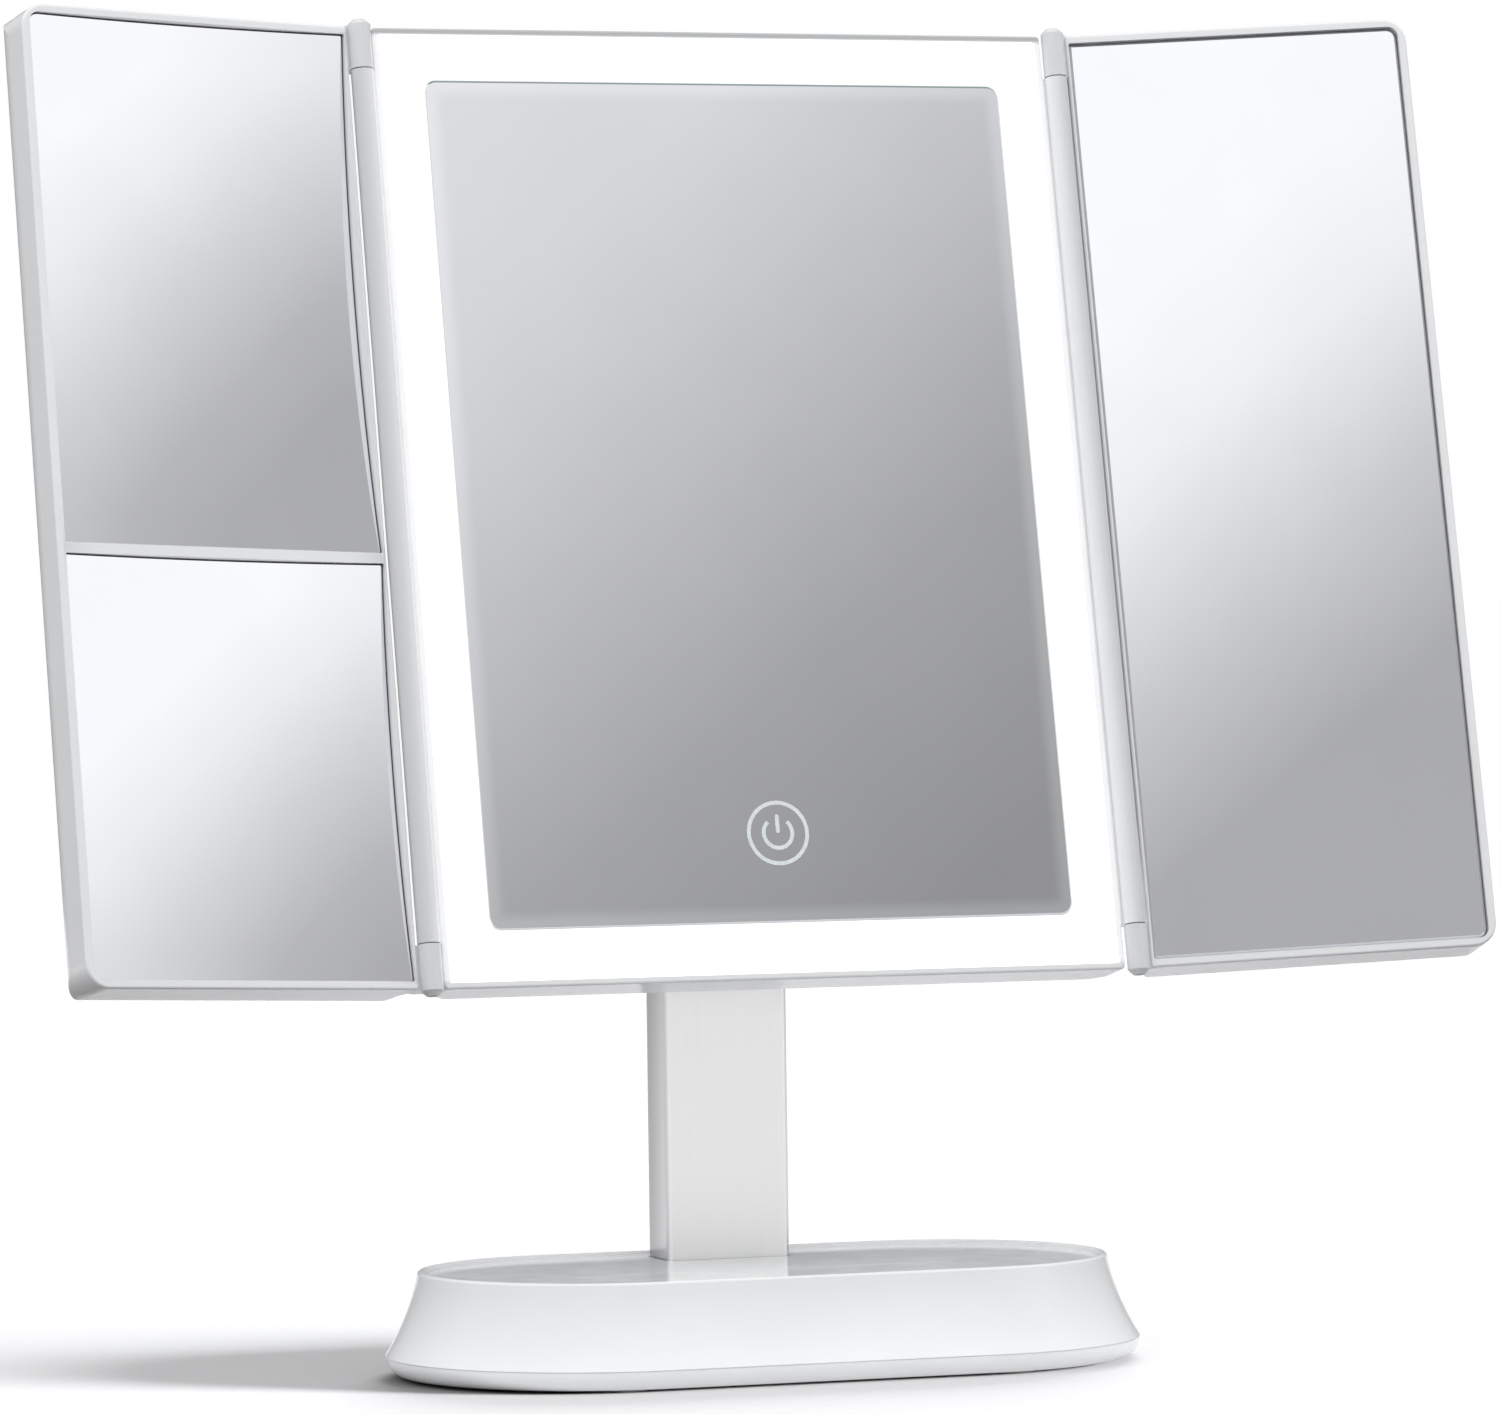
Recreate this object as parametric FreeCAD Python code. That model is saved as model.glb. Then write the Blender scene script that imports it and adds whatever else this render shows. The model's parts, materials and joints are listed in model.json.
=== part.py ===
import FreeCAD, Part
import math
import os
from FreeCAD import Placement, Rotation, Vector

# Tri-fold lighted vanity mirror on a flat steel post with an oblong tray base.
# Millimetres. X runs to the viewer's right, Y to the back, Z up.
# The origin is on the table, under the centre of the base.

os.makedirs("parts", exist_ok=True)

# Base shell and bottom plate
BASE_STRAIGHT = 100.0      # between the centres of the two round ends
RIM_RADIUS = 52.3          # round end at the rim of the tray
RIM_HEIGHT = 30.3
RIM_WIDTH = 2.0
RIM_CHAMFER = 0.6
SKIRT_FLARE = 9.3          # how far the skirt spreads from rim to seam
SKIRT_HOLLOW = 1.1         # how far the skirt bows in from a straight slope
SEAM_HEIGHT = 6.5
SEAM_GAP = 0.3
BASE_WALL = 2.4
TRAY_STEP = 1.3            # rim down to the edge of the tray
TRAY_COVE = 1.0            # slope between the rim and the tray's edge
TRAY_DISH = 0.9            # further fall from the tray's edge to its middle
TRIM_TUCK = 5.6            # how far the plate's edge rounds in to the table
TRIM_BELLY = 1.7           # how far that rounding swells from a straight slope
TRIM_SETBACK = 0.2         # plate's edge inside the skirt's
PLATE_LIP = 2.0            # upstand that keys the plate inside the skirt
PLATE_LIP_WALL = 1.8
PLATE_LIP_CLEAR = 0.6
BASE_SCREW_INSET = 14.6    # from the skirt's foot
BASE_SCREW_TURN = 60.0     # degrees round the end from the long axis
BASE_BOSS_RADIUS = 4.0
BASE_SCREW_BITE = 9.0

# Rubber feet
FOOT_RADIUS = 6.0
FOOT_PROUD = 0.8
FOOT_SUNK = 0.8
FOOT_CHAMFER = 0.4
FOOT_INSET = 14.6          # from the skirt's foot
FOOT_OUT = 8.0             # past the centre of the round end

# Battery compartment, control board and ballast
CELL_RADIUS = 7.25
CELL_LENGTH = 49.5
CELL_NUB_RADIUS = 2.75
CELL_NUB = 1.0
CELL_PITCH = 15.0
BOX_FLANGE_GAP = 1.5       # compartment to the post's flange
BOX_SKIRT_GAP = 2.4
BOX_WALL = 1.6
BOX_CORNER = 1.0
BOX_SIDE_ROOM = 0.6        # beside the outer cells
CELL_UNDER_ROOM = 0.4      # between the cells and the door
CELL_OVER_ROOM = 0.5
CONTACT = 0.5
CONTACT_SIZE = 10.0
SPRING = 4.2
SPRING_RADIUS = 4.5
SPRING_TIP_RADIUS = 3.0
DOOR_THICK = 2.0
DOOR_GAP = 0.4
DOOR_SEAT = 0.1            # between the closed door and its ledge
DOOR_LEDGE = 2.0           # width of the ledge above the closed door's edge
DOOR_PIN_RADIUS = 0.6
DOOR_PIN = 1.6             # length of a hinge pin in the plate
LATCH_WIDTH = 14.0
LATCH_LENGTH = 11.0
LATCH_SLIT = 0.8
FINGER_RADIUS = 5.0        # finger notch in the latch
FINGER_DEPTH = 1.1
FINGER_BACK = 4.0
FINGER_SIDE = 2.0
GROOVE_LENGTH = 36.0       # grip grooves across the door
GROOVE_WIDTH = 1.0
GROOVE_DEPTH = 0.4
GROOVE_PITCH = 4.0
GROOVE_COUNT = 3
BALLAST_START = 16.0       # right of the middle
BALLAST_BACK = -4.0
BALLAST_GAP = 1.3          # to the bosses and the plate's lip
BALLAST_THICK = 8.0
BALLAST_CORNER = 4.0
BOARD_SIZE = (34.0, 40.0)
BOARD_GAP = 1.5            # to the boss beside it
BOARD_THICK = 1.6
BOARD_STANDOFF = 8.0
STANDOFF_RADIUS = 2.6
STANDOFF_INSET = 4.0
CHIP = (13.5, 11.5, 7.0, 1.2)        # middle from the board's corner, side, height
COIL = (24.0, 12.0, 3.5, 4.0)        # middle from the board's corner, radius, height
CAPACITOR = (8.0, 26.0, 2.5, 6.0)
SOCKET_SIZE = (9.0, 8.6, 3.3)   # width, length, height of the USB-C shell
SOCKET_CLEAR = 0.3
SOCKET_SUNK = 1.1          # mouth inside the skirt's face
SOCKET_WALL = 0.4
SOCKET_BACK_WALL = 1.5
SOCKET_PROUD = 1.8         # shell's start past the board's edge
SOCKET_SEAT = 6.0          # length of the socket's body on the board
TONGUE_SIZE = (6.4, 0.7)   # width, thickness
TONGUE_SUNK = 1.2

# Post
POST_WIDTH = 38.0
POST_DEPTH = 18.0
POST_WALL = 1.2
POST_CORNER = 2.0
POST_BACK_GAP = 2.1        # tray left between the post and the rim behind it
POST_FOOT_HEIGHT = 12.0    # bottom end of the tube inside the base
POST_ABOVE_AXIS = 9.0
POST_CLEAR = 0.5           # dark line round the foot of the post
FLANGE_THICK = 2.5
FLANGE_UP = 3.0            # flange above the tube's bottom end
FLANGE_CORNER = 3.0
FLANGE_MARGIN_X = 9.0
FLANGE_MARGIN_Y = 3.2
FLANGE_SCREW_Y = 6.0
FLANGE_BITE = 5.0
PLUG_CAP = 1.4
PLUG_CHAMFER = 0.8
PLUG_DEPTH = 2.8
PLUG_WALL = 1.5

# Tilt hinge at the top of the post
TILT_AXIS_HEIGHT = 242.0
REST_TILT = 12.0           # degrees back from upright, as photographed
PIN_RADIUS = 3.0
BUSH_RADIUS = 4.5
RUNNING_FIT = 0.06
WASHER_RADIUS = 7.0
WASHER_THICK = 0.8
EAR_THICK = 2.5
EAR_RADIUS = 8.0
EAR_ROOT = 15.0
BRACKET_THICK = 1.8
BRACKET_WIDTH = 66.0
BRACKET_HEIGHT = 42.0
BRACKET_CORNER = 4.0
BRACKET_SCREW_AT = (27.5, 15.0)
BRACKET_BITE = 6.0
BRACKET_BOSS_RADIUS = 4.0
BRACKET_BOSS_END = 1.0     # boss past the end of its screw
LEAD_HOLE_RADIUS = 3.0
LEAD_HOLE_UP = 8.0         # above the bracket
PIN_HEAD_RADIUS = 5.0
PIN_HEAD = 2.2
PIN_HEAD_CHAMFER = 1.3
PIN_PROUD = 0.6            # past the nut
NUT_ACROSS = 10.0
NUT_THICK = 3.4

# Panels
PANEL_HEIGHT = 280.0
PANEL_DEPTH = 20.0         # centre panel
PANEL_WALL = 1.8
BACK_CORNER = 13.0         # rounding of the upright back edges
END_CORNER = 3.0           # rounding of the back edges along top and bottom
HINGE_SPAN = 214.0         # between the two wing hinge axes
HINGE_FORWARD = 36.8       # wing hinge axes ahead of the tilt axis
RIM_SETBACK = 0.5          # centre rim behind the wing hinge axes
GLASS_SETBACK = 0.3        # glass and diffuser behind the centre rim
BARREL_RADIUS = 3.3
BARREL_CLEAR = 0.6         # between a barrel and the neighbouring panel's edge
KNUCKLE_LENGTH = 14.6
KNUCKLE_PROUD = 1.9        # knuckle ends beyond the panel's top and bottom
KNUCKLE_GAP = 0.35
KNUCKLE_CHAMFER = 1.5
WEB_DEPTH = 4.6
WEB_REACH = 7.0
WEB_CORNER = 1.5
HINGE_PIN_RADIUS = 1.5
HINGE_PIN_GRIP = 11.0      # length held in a knuckle
HINGE_PIN_REACH = 12.0     # length running in the barrel
HINGE_PIN_SUNK = 0.6       # lower pin's end inside its knuckle's open end
HINGE_BUSH_RADIUS = 2.3

# Centre panel
HOUSING_CORNER = 1.2
GLASS_SIDE = 14.3          # lit border beside the glass, to the panel's edge
GLASS_BOTTOM = 16.4
GLASS_TOP = 15.4
GLASS_THICK = 3.0
GLASS_CORNER = 3.9
GLASS_BEVEL = 0.7
GLASS_CLEAR = 0.1
DIFFUSER_THICK = 3.0
DIFFUSER_CLEAR = 0.15
DIFFUSER_CORNER = 0.5
CARRIER_THICK = 1.5
CARRIER_OVERLAP = 3.0
TRAY_PLATE = 1.2
LIGHT_GAP = 7.0            # diffuser back to light tray front
TRAY_CLEAR = 0.5
TRAY_CORNER = 2.0
FENCE_INSET = 4.0          # fence round the light space, inside the glass's edge
FENCE_CORNER = 3.0
TRAY_WINDOW_INSET = 29.0   # open middle of the tray, inside the glass's edge
TRAY_WINDOW_CORNER = 6.0
TRAY_POST_INSET = 11.0     # posts inside the glass's side edges
TRAY_POST_END = 30.0       # end posts from the panel's top and bottom
TRAY_POST_RADIUS = 3.0
TRAY_SCREW_BITE = 5.0
LED_BOARD_WIDTH = 7.0
LED_BOARD_THICK = 1.0
LED_BOARD_GAP = 1.0
LED_SIZE = (2.8, 0.8, 3.5)
LED_PITCH = 20.0
ICON_UP = 26.0             # icon centre above the glass's bottom edge
ICON_RING_RADIUS = 9.4
ICON_STROKE = 1.15
ICON_ARC_RADIUS = 4.9
ICON_ARC_GAP = 42.0        # half of the arc's opening, degrees
ICON_BAR = 5.4
ICON_DEPTH = 0.25
TOUCH_PAD_RADIUS = 9.0
TOUCH_BOARD = 34.0
TOUCH_BOARD_THICK = 1.2
TOUCH_BOARD_CORNER = 2.0
TOUCH_CHIP = (6.0, 1.2)    # side, height

# Wings
WING_WIDTH = 106.4         # hinge axis to outer edge
WING_DEPTH = 22.5
WING_SETBACK = 0.3         # wing front behind the hinge axis
WING_CORNER = 7.0
WING_HINGE_CORNER = 0.8
HINGE_BACK_CORNER = 7.0
FRAME_DEPTH = 9.0
COVER_STEP = 0.15          # fine step between frame and back cover
LIP = 2.4
HINGE_LIP = 0.9            # beside the hinge
LIP_ROUND = 0.8
LEDGE = 3.0
OPENING_CORNER = 3.0
TIGHT_CORNER = 0.5         # of an opening beside the hinge and the divider
LEDGE_CORNER = 1.0
MIRROR_CLEAR = 0.3
MIRROR_RECESS = 1.4        # mirror's corners behind the lip
FLAT_MIRROR_THICK = 3.0
DISHED_MIRROR_THICK = 2.2
DIVIDER_UP = -16.3         # divider's middle from the panel's middle
DIVIDER = 3.0
UPPER_DISH_RADIUS = 660.0
LOWER_DISH_RADIUS = 620.0
LEFT_FOLD = 11.0           # degrees forward from flat, as photographed
RIGHT_FOLD = 13.0

# Screws
SCREW_RADIUS = 1.5
SCREW_HEAD_RADIUS = 2.8
SCREW_CROWN_RADIUS = 2.1
SCREW_HEAD = 1.8

# Drawing aids
PAST = 1.0                 # how far a cut runs past the face it opens
HAIR = 0.01                # short line left between two arcs that would meet

# Derived places in the base
SEAM_RADIUS = RIM_RADIUS + SKIRT_FLARE
POST_SETBACK = RIM_RADIUS - RIM_WIDTH - POST_BACK_GAP - POST_DEPTH / 2
FLANGE_HALF_X = POST_WIDTH / 2 + FLANGE_MARGIN_X
FLANGE_SCREW_X = POST_WIDTH / 2 + POST_CLEAR + BASE_BOSS_RADIUS
BASE_SCREW_X = BASE_STRAIGHT / 2 + (SEAM_RADIUS - BASE_SCREW_INSET) * math.cos(math.radians(BASE_SCREW_TURN))
BASE_SCREW_Y = (SEAM_RADIUS - BASE_SCREW_INSET) * math.sin(math.radians(BASE_SCREW_TURN))
PLATE_LIP_RADIUS = SEAM_RADIUS - BASE_WALL - PLATE_LIP

# Derived heights in the base
PLATE_BOTTOM = FOOT_PROUD
PLATE_TOP = PLATE_BOTTOM + BASE_WALL
BASE_SCREW_SEAT = PLATE_BOTTOM + SCREW_HEAD
TRAY_EDGE = RIM_HEIGHT - TRAY_STEP
TRAY_MIDDLE = TRAY_EDGE - TRAY_DISH
TRAY_UNDER = TRAY_MIDDLE - BASE_WALL
DOOR_TOP = PLATE_BOTTOM + DOOR_THICK
FLANGE_TOP = POST_FOOT_HEIGHT + FLANGE_UP + FLANGE_THICK

# Derived planes of the panels, in the head's own frame: upright, origin on the tilt axis
PANEL_TOP = PANEL_HEIGHT / 2
HINGE_X = HINGE_SPAN / 2
RIM_Y = -(HINGE_FORWARD - RIM_SETBACK)
GLASS_Y = RIM_Y + GLASS_SETBACK
GLASS_BACK_Y = GLASS_Y + GLASS_THICK
CARRIER_BACK_Y = GLASS_BACK_Y + CARRIER_THICK
HOUSING_BACK_Y = RIM_Y + PANEL_DEPTH
HOUSING_INNER_Y = HOUSING_BACK_Y - PANEL_WALL
HOUSING_X = HINGE_X - BARREL_RADIUS - BARREL_CLEAR
GLASS_HALF = HOUSING_X - GLASS_SIDE
LIGHT_TRAY_Y = GLASS_BACK_Y + LIGHT_GAP
BRACKET_BACK_Y = HOUSING_BACK_Y + BRACKET_THICK
WING_Y = -(HINGE_FORWARD - WING_SETBACK)
WING_BACK_Y = WING_Y + WING_DEPTH
WING_SPLIT_Y = WING_Y + FRAME_DEPTH
KNUCKLE_END = PANEL_TOP + KNUCKLE_PROUD
KNUCKLE_START = KNUCKLE_END - KNUCKLE_LENGTH
BARREL_END = KNUCKLE_START - KNUCKLE_GAP
GLASS_LOW = -PANEL_TOP + GLASS_BOTTOM
GLASS_HIGH = PANEL_TOP - GLASS_TOP

ORIGIN = Vector(0, 0, 0)
RIGHT = Vector(1, 0, 0)
BACK = Vector(0, 1, 0)
UP = Vector(0, 0, 1)


# Shape helpers

def outline(corners):
    """Face in the XY plane from corner points (x, y, radius)."""
    ends = []
    for i, (x, y, radius) in enumerate(corners):
        here = Vector(x, y, 0)
        before = Vector(*corners[i - 1][:2], 0) - here
        after = Vector(*corners[(i + 1) % len(corners)][:2], 0) - here
        before.normalize()
        after.normalize()
        half = before.getAngle(after) / 2
        run = radius / math.tan(half)
        inward = (before + after).normalize() if radius else UP
        mid = here + inward * (radius / math.sin(half) - radius)
        ends.append((here + before * run, mid, here + after * run, radius))
    edges = []
    for i, (arrive, mid, leave, radius) in enumerate(ends):
        if radius:
            edges.append(Part.Arc(arrive, mid, leave).toShape())
        following = ends[(i + 1) % len(ends)][0]
        if leave.distanceToPoint(following) > 1e-6:
            edges.append(Part.makeLine(leave, following))
    return Part.Face(Part.Wire(edges))


def rectangle(x0, x1, y0, y1, radius=0.0):
    """Corner points of a rectangle with one radius all round."""
    return [(x0, y0, radius), (x1, y0, radius), (x1, y1, radius), (x0, y1, radius)]


def column(corners, z0, z1):
    """Upright prism on a plan outline."""
    face = outline(corners)
    face.translate(UP * z0)
    return face.extrude(UP * (z1 - z0))


def front_plate(corners, y0, y1):
    """Prism from front to back on an outline given as (x, z, radius)."""
    face = outline(corners)
    face.rotate(ORIGIN, RIGHT, 90)
    face.translate(BACK * y0)
    return face.extrude(BACK * (y1 - y0))


def side_plate(corners, x0, x1):
    """Prism across X on an outline given as (y, z, radius)."""
    face = outline(corners)
    face.rotate(ORIGIN, Vector(1, 1, 1), 120)
    face.translate(RIGHT * x0)
    return face.extrude(RIGHT * (x1 - x0))


def block(x0, x1, y0, y1, z0, z1):
    return Part.makeBox(x1 - x0, y1 - y0, z1 - z0, Vector(x0, y0, z0))


def upright(x, y, z0, z1, radius):
    return Part.makeCylinder(radius, z1 - z0, Vector(x, y, z0), UP)


def lengthwise(x, y0, y1, z, radius):
    return Part.makeCylinder(radius, y1 - y0, Vector(x, y0, z), BACK)


def crosswise(x0, x1, radius):
    """Cylinder on the tilt axis, in the head's own frame."""
    return Part.makeCylinder(radius, x1 - x0, Vector(x0, 0, 0), RIGHT)


def flat_edges(shape, plane, at):
    """Edges that lie wholly in the plane Y or Z = at."""
    found = []
    for edge in shape.Edges:
        low = getattr(edge.BoundBox, plane + "Min")
        high = getattr(edge.BoundBox, plane + "Max")
        if abs(low - at) < 1e-3 and abs(high - at) < 1e-3:
            found.append(edge)
    return found


def section(steps):
    """Half section in the XZ plane: (r, z) for a line, (mid, end) for an arc through mid."""
    here = Vector(steps[0][0], 0, steps[0][1])
    edges = []
    for step in steps[1:] + steps[:1]:
        if isinstance(step[0], tuple):
            mid, end = (Vector(r, 0, z) for r, z in step)
            edges.append(Part.Arc(here, mid, end).toShape())
        else:
            end = Vector(step[0], 0, step[1])
            edges.append(Part.makeLine(here, end))
        here = end
    return Part.Face(Part.Wire(edges))


def oblong(face):
    """Sweep a half section round the base: two half turns joined by straights."""
    half = BASE_STRAIGHT / 2
    pieces = []
    for side in (1, -1):
        start = face.copy()
        start.rotate(ORIGIN, UP, -90 * side)
        round_end = start.revolve(ORIGIN, UP, 180)
        round_end.translate(RIGHT * half * side)
        start.translate(RIGHT * -half)
        pieces += [round_end, start.extrude(RIGHT * BASE_STRAIGHT)]
    return pieces[0].fuse(pieces[1:]).removeSplitter()


def bowed(start, end, bow):
    """Arc step from start to end whose middle is pushed by bow towards the centre line."""
    run, rise = end[0] - start[0], end[1] - start[1]
    length = math.hypot(run, rise)
    mid = ((start[0] + end[0]) / 2 - bow * rise / length, (start[1] + end[1]) / 2 + bow * run / length)
    return (mid, end)


def screw(length):
    """Pan-head screw pointing up, with its head's underside at the origin."""
    head = Part.makeCone(SCREW_CROWN_RADIUS, SCREW_HEAD_RADIUS, SCREW_HEAD, UP * -SCREW_HEAD)
    return head.fuse(upright(0, 0, 0, length, SCREW_RADIUS))


def placed(shape, x, y, z):
    moved = shape.copy()
    moved.translate(Vector(x, y, z))
    return moved


# Where the head and the wings stand in the photographed pose
HEAD = Placement(Vector(0, POST_SETBACK, TILT_AXIS_HEIGHT), Rotation(RIGHT, -REST_TILT))


def wing_placement(side):
    fold = -RIGHT_FOLD if side > 0 else LEFT_FOLD
    axis_point = Vector(side * HINGE_X, -HINGE_FORWARD, 0)
    return HEAD.multiply(Placement(ORIGIN, Rotation(UP, fold), axis_point))


def save(name, shape, placement=None):
    if placement:
        shape.Placement = placement.multiply(shape.Placement)
    shape.exportStep(f"parts/{name}.step")


# Base

def skirt_radius(z):
    """Radius of the round end at a height on the skirt's outer face."""
    share = (z - SEAM_HEIGHT) / (RIM_HEIGHT - SEAM_HEIGHT)
    return SEAM_RADIUS - SKIRT_FLARE * share - 4 * SKIRT_HOLLOW * share * (1 - share)


def four_ways(x, y):
    return [(x, y), (-x, y), (x, -y), (-x, -y)]


def base_screw_places():
    return four_ways(BASE_SCREW_X, BASE_SCREW_Y)


def base_shell():
    rim_shoulder = RIM_HEIGHT - RIM_CHAMFER
    tray_radius = RIM_RADIUS - RIM_WIDTH
    tray_edge = (tray_radius - TRAY_COVE, TRAY_EDGE)
    outer_foot = (SEAM_RADIUS, SEAM_HEIGHT)
    outer_top = (RIM_RADIUS, rim_shoulder)
    inner_foot = (SEAM_RADIUS - BASE_WALL, SEAM_HEIGHT)
    inner_top = (RIM_RADIUS - BASE_WALL, TRAY_UNDER)
    shell = oblong(section([
        outer_foot,
        bowed(outer_foot, outer_top, SKIRT_HOLLOW),
        (RIM_RADIUS - RIM_CHAMFER, RIM_HEIGHT),
        (tray_radius + RIM_CHAMFER, RIM_HEIGHT),
        (tray_radius, rim_shoulder),
        (tray_radius, TRAY_EDGE + TRAY_COVE / 2),
        tray_edge,
        bowed(tray_edge, (0, TRAY_MIDDLE), -TRAY_DISH / 4),
        (0, TRAY_UNDER),
        inner_top,
        bowed(inner_top, inner_foot, -SKIRT_HOLLOW),
    ]))
    bosses = [upright(x, y, PLATE_TOP, TRAY_UNDER, BASE_BOSS_RADIUS) for x, y in base_screw_places()]
    bosses += [upright(x, y, FLANGE_TOP, TRAY_UNDER, BASE_BOSS_RADIUS) for x, y in flange_screws()]
    shell = shell.fuse(bosses)
    holes = [upright(x, y, PLATE_TOP, PLATE_TOP + BASE_SCREW_BITE, SCREW_RADIUS)
             for x, y in base_screw_places()]
    holes += [upright(x, y, FLANGE_TOP, FLANGE_TOP + FLANGE_BITE, SCREW_RADIUS) for x, y in flange_screws()]
    slot = column(post_outline(POST_CLEAR), TRAY_UNDER - PAST, RIM_HEIGHT + PAST)
    socket_hole = front_plate(socket_outline(SOCKET_CLEAR), SOCKET_FRONT, SEAM_RADIUS)
    return shell.cut(holes + [slot, socket_hole]).removeSplitter()


def base_plate():
    top = SEAM_HEIGHT - SEAM_GAP
    lip_radius = PLATE_LIP_RADIUS
    trim_foot = (SEAM_RADIUS - TRIM_TUCK, PLATE_BOTTOM)
    plate = oblong(section([
        (0, PLATE_BOTTOM),
        trim_foot,
        bowed(trim_foot, (SEAM_RADIUS - TRIM_SETBACK, top), -TRIM_BELLY),
        (lip_radius + PLATE_LIP - PLATE_LIP_CLEAR, top),
        (lip_radius, top + PLATE_LIP),
        (lip_radius - PLATE_LIP_WALL, top + PLATE_LIP),
        (lip_radius - PLATE_LIP_WALL, PLATE_TOP),
        (0, PLATE_TOP),
    ]))
    door_hole = column(door_outline(0), PLATE_BOTTOM - PAST, DOOR_TOP + DOOR_SEAT)
    cell_hole = column(battery_rect(0), PLATE_BOTTOM - PAST, PLATE_TOP + PAST)
    cuts = [door_hole, cell_hole, door_axle(DOOR_PIN_RADIUS + RUNNING_FIT, DOOR_GAP + DOOR_PIN + DOOR_GAP)]
    cuts += [upright(x, y, 0, FOOT_PROUD + FOOT_SUNK, FOOT_RADIUS) for x, y in feet()]
    for x, y in base_screw_places():
        cuts.append(upright(x, y, 0, PLATE_BOTTOM + SCREW_HEAD, SCREW_HEAD_RADIUS))
        cuts.append(upright(x, y, 0, PLATE_TOP, SCREW_RADIUS))
    return plate.cut(cuts)


def feet():
    return four_ways(BASE_STRAIGHT / 2 + FOOT_OUT, SEAM_RADIUS - FOOT_INSET)


def rubber_feet():
    pads = []
    for x, y in feet():
        pad = upright(x, y, 0, FOOT_PROUD + FOOT_SUNK, FOOT_RADIUS)
        pads.append(pad.makeChamfer(FOOT_CHAMFER, flat_edges(pad, "Z", 0)))
    return Part.makeCompound(pads)


def base_screws():
    length = BASE_SCREW_BITE + PLATE_TOP - BASE_SCREW_SEAT
    return Part.makeCompound([placed(screw(length), x, y, BASE_SCREW_SEAT) for x, y in base_screw_places()])


# Battery compartment

CELL_Z = DOOR_TOP + CELL_UNDER_ROOM + CELL_RADIUS
BOX_ROOF = CELL_Z + CELL_RADIUS + CELL_OVER_ROOM
BATTERY_HALF_X = (CELL_LENGTH + CELL_NUB + SPRING) / 2 + CONTACT
BATTERY_X = -(FLANGE_HALF_X + BOX_FLANGE_GAP + BOX_WALL + BATTERY_HALF_X)


def cell_count():
    """As many cells side by side as fit between the skirt's walls."""
    corner_x = -BATTERY_X + BATTERY_HALF_X + BOX_WALL - BASE_STRAIGHT / 2
    wall_radius = skirt_radius(BOX_ROOF + BOX_WALL) - BASE_WALL - BOX_SKIRT_GAP
    corner_y = math.sqrt(wall_radius ** 2 - corner_x ** 2)
    return int(2 * (corner_y - BOX_WALL - BOX_SIDE_ROOM) / CELL_PITCH)


CELL_COUNT = cell_count()
BATTERY_HALF_Y = CELL_COUNT * CELL_PITCH / 2 + BOX_SIDE_ROOM

# Edges of the battery door; its front edge is rounded about the hinge axis
DOOR_HALF_X = BATTERY_HALF_X + DOOR_LEDGE - DOOR_GAP
DOOR_BACK = BATTERY_HALF_Y + DOOR_LEDGE - DOOR_GAP
DOOR_AXIS_Y = DOOR_THICK / 2 - DOOR_BACK
DOOR_AXIS_Z = PLATE_BOTTOM + DOOR_THICK / 2


def battery_rect(grow):
    half_x, half_y = BATTERY_HALF_X + grow, BATTERY_HALF_Y + grow
    return rectangle(BATTERY_X - half_x, BATTERY_X + half_x, -half_y, half_y, BOX_CORNER)


def door_outline(grow):
    return battery_rect(DOOR_LEDGE + grow)


def battery_box():
    outer = column(battery_rect(BOX_WALL), PLATE_TOP, BOX_ROOF + BOX_WALL)
    return outer.cut(column(battery_rect(0), PLATE_TOP - PAST, BOX_ROOF))


def door_axle(radius, reach):
    """Round bar on the door's hinge axis, reaching past both ends of the door."""
    start = Vector(BATTERY_X - DOOR_HALF_X - reach, DOOR_AXIS_Y, DOOR_AXIS_Z)
    return Part.makeCylinder(radius, 2 * (DOOR_HALF_X + reach), start, RIGHT)


def battery_door():
    half = LATCH_WIDTH / 2
    x0, x1 = BATTERY_X - DOOR_HALF_X, BATTERY_X + DOOR_HALF_X
    leaf = block(x0, x1, DOOR_AXIS_Y, DOOR_BACK, PLATE_BOTTOM, DOOR_TOP)
    door = leaf.fuse([door_axle(DOOR_THICK / 2, 0), door_axle(DOOR_PIN_RADIUS, DOOR_GAP + DOOR_PIN)])
    cuts = []
    for x in (BATTERY_X - half - LATCH_SLIT, BATTERY_X + half):
        cuts.append(block(x, x + LATCH_SLIT, DOOR_BACK - LATCH_LENGTH, DOOR_BACK + PAST, 0, PLATE_TOP))
    finger_z = PLATE_BOTTOM + FINGER_DEPTH - FINGER_RADIUS
    finger_start = Vector(BATTERY_X - half + FINGER_SIDE, DOOR_BACK - FINGER_BACK, finger_z)
    cuts.append(Part.makeCylinder(FINGER_RADIUS, LATCH_WIDTH - 2 * FINGER_SIDE, finger_start, RIGHT))
    groove_x = BATTERY_X - GROOVE_LENGTH / 2, BATTERY_X + GROOVE_LENGTH / 2
    for i in range(GROOVE_COUNT):
        y = -(i + 1) * GROOVE_PITCH
        cuts.append(block(*groove_x, y, y + GROOVE_WIDTH, PLATE_BOTTOM - PAST, PLATE_BOTTOM + GROOVE_DEPTH))
    return door.cut(cuts).removeSplitter()


def cell_rows():
    """(y, direction) of each cell; direction is +1 where the nub points to the right."""
    first = -(CELL_COUNT - 1) * CELL_PITCH / 2
    return [(first + i * CELL_PITCH, 1 if i % 2 else -1) for i in range(CELL_COUNT)]


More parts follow.
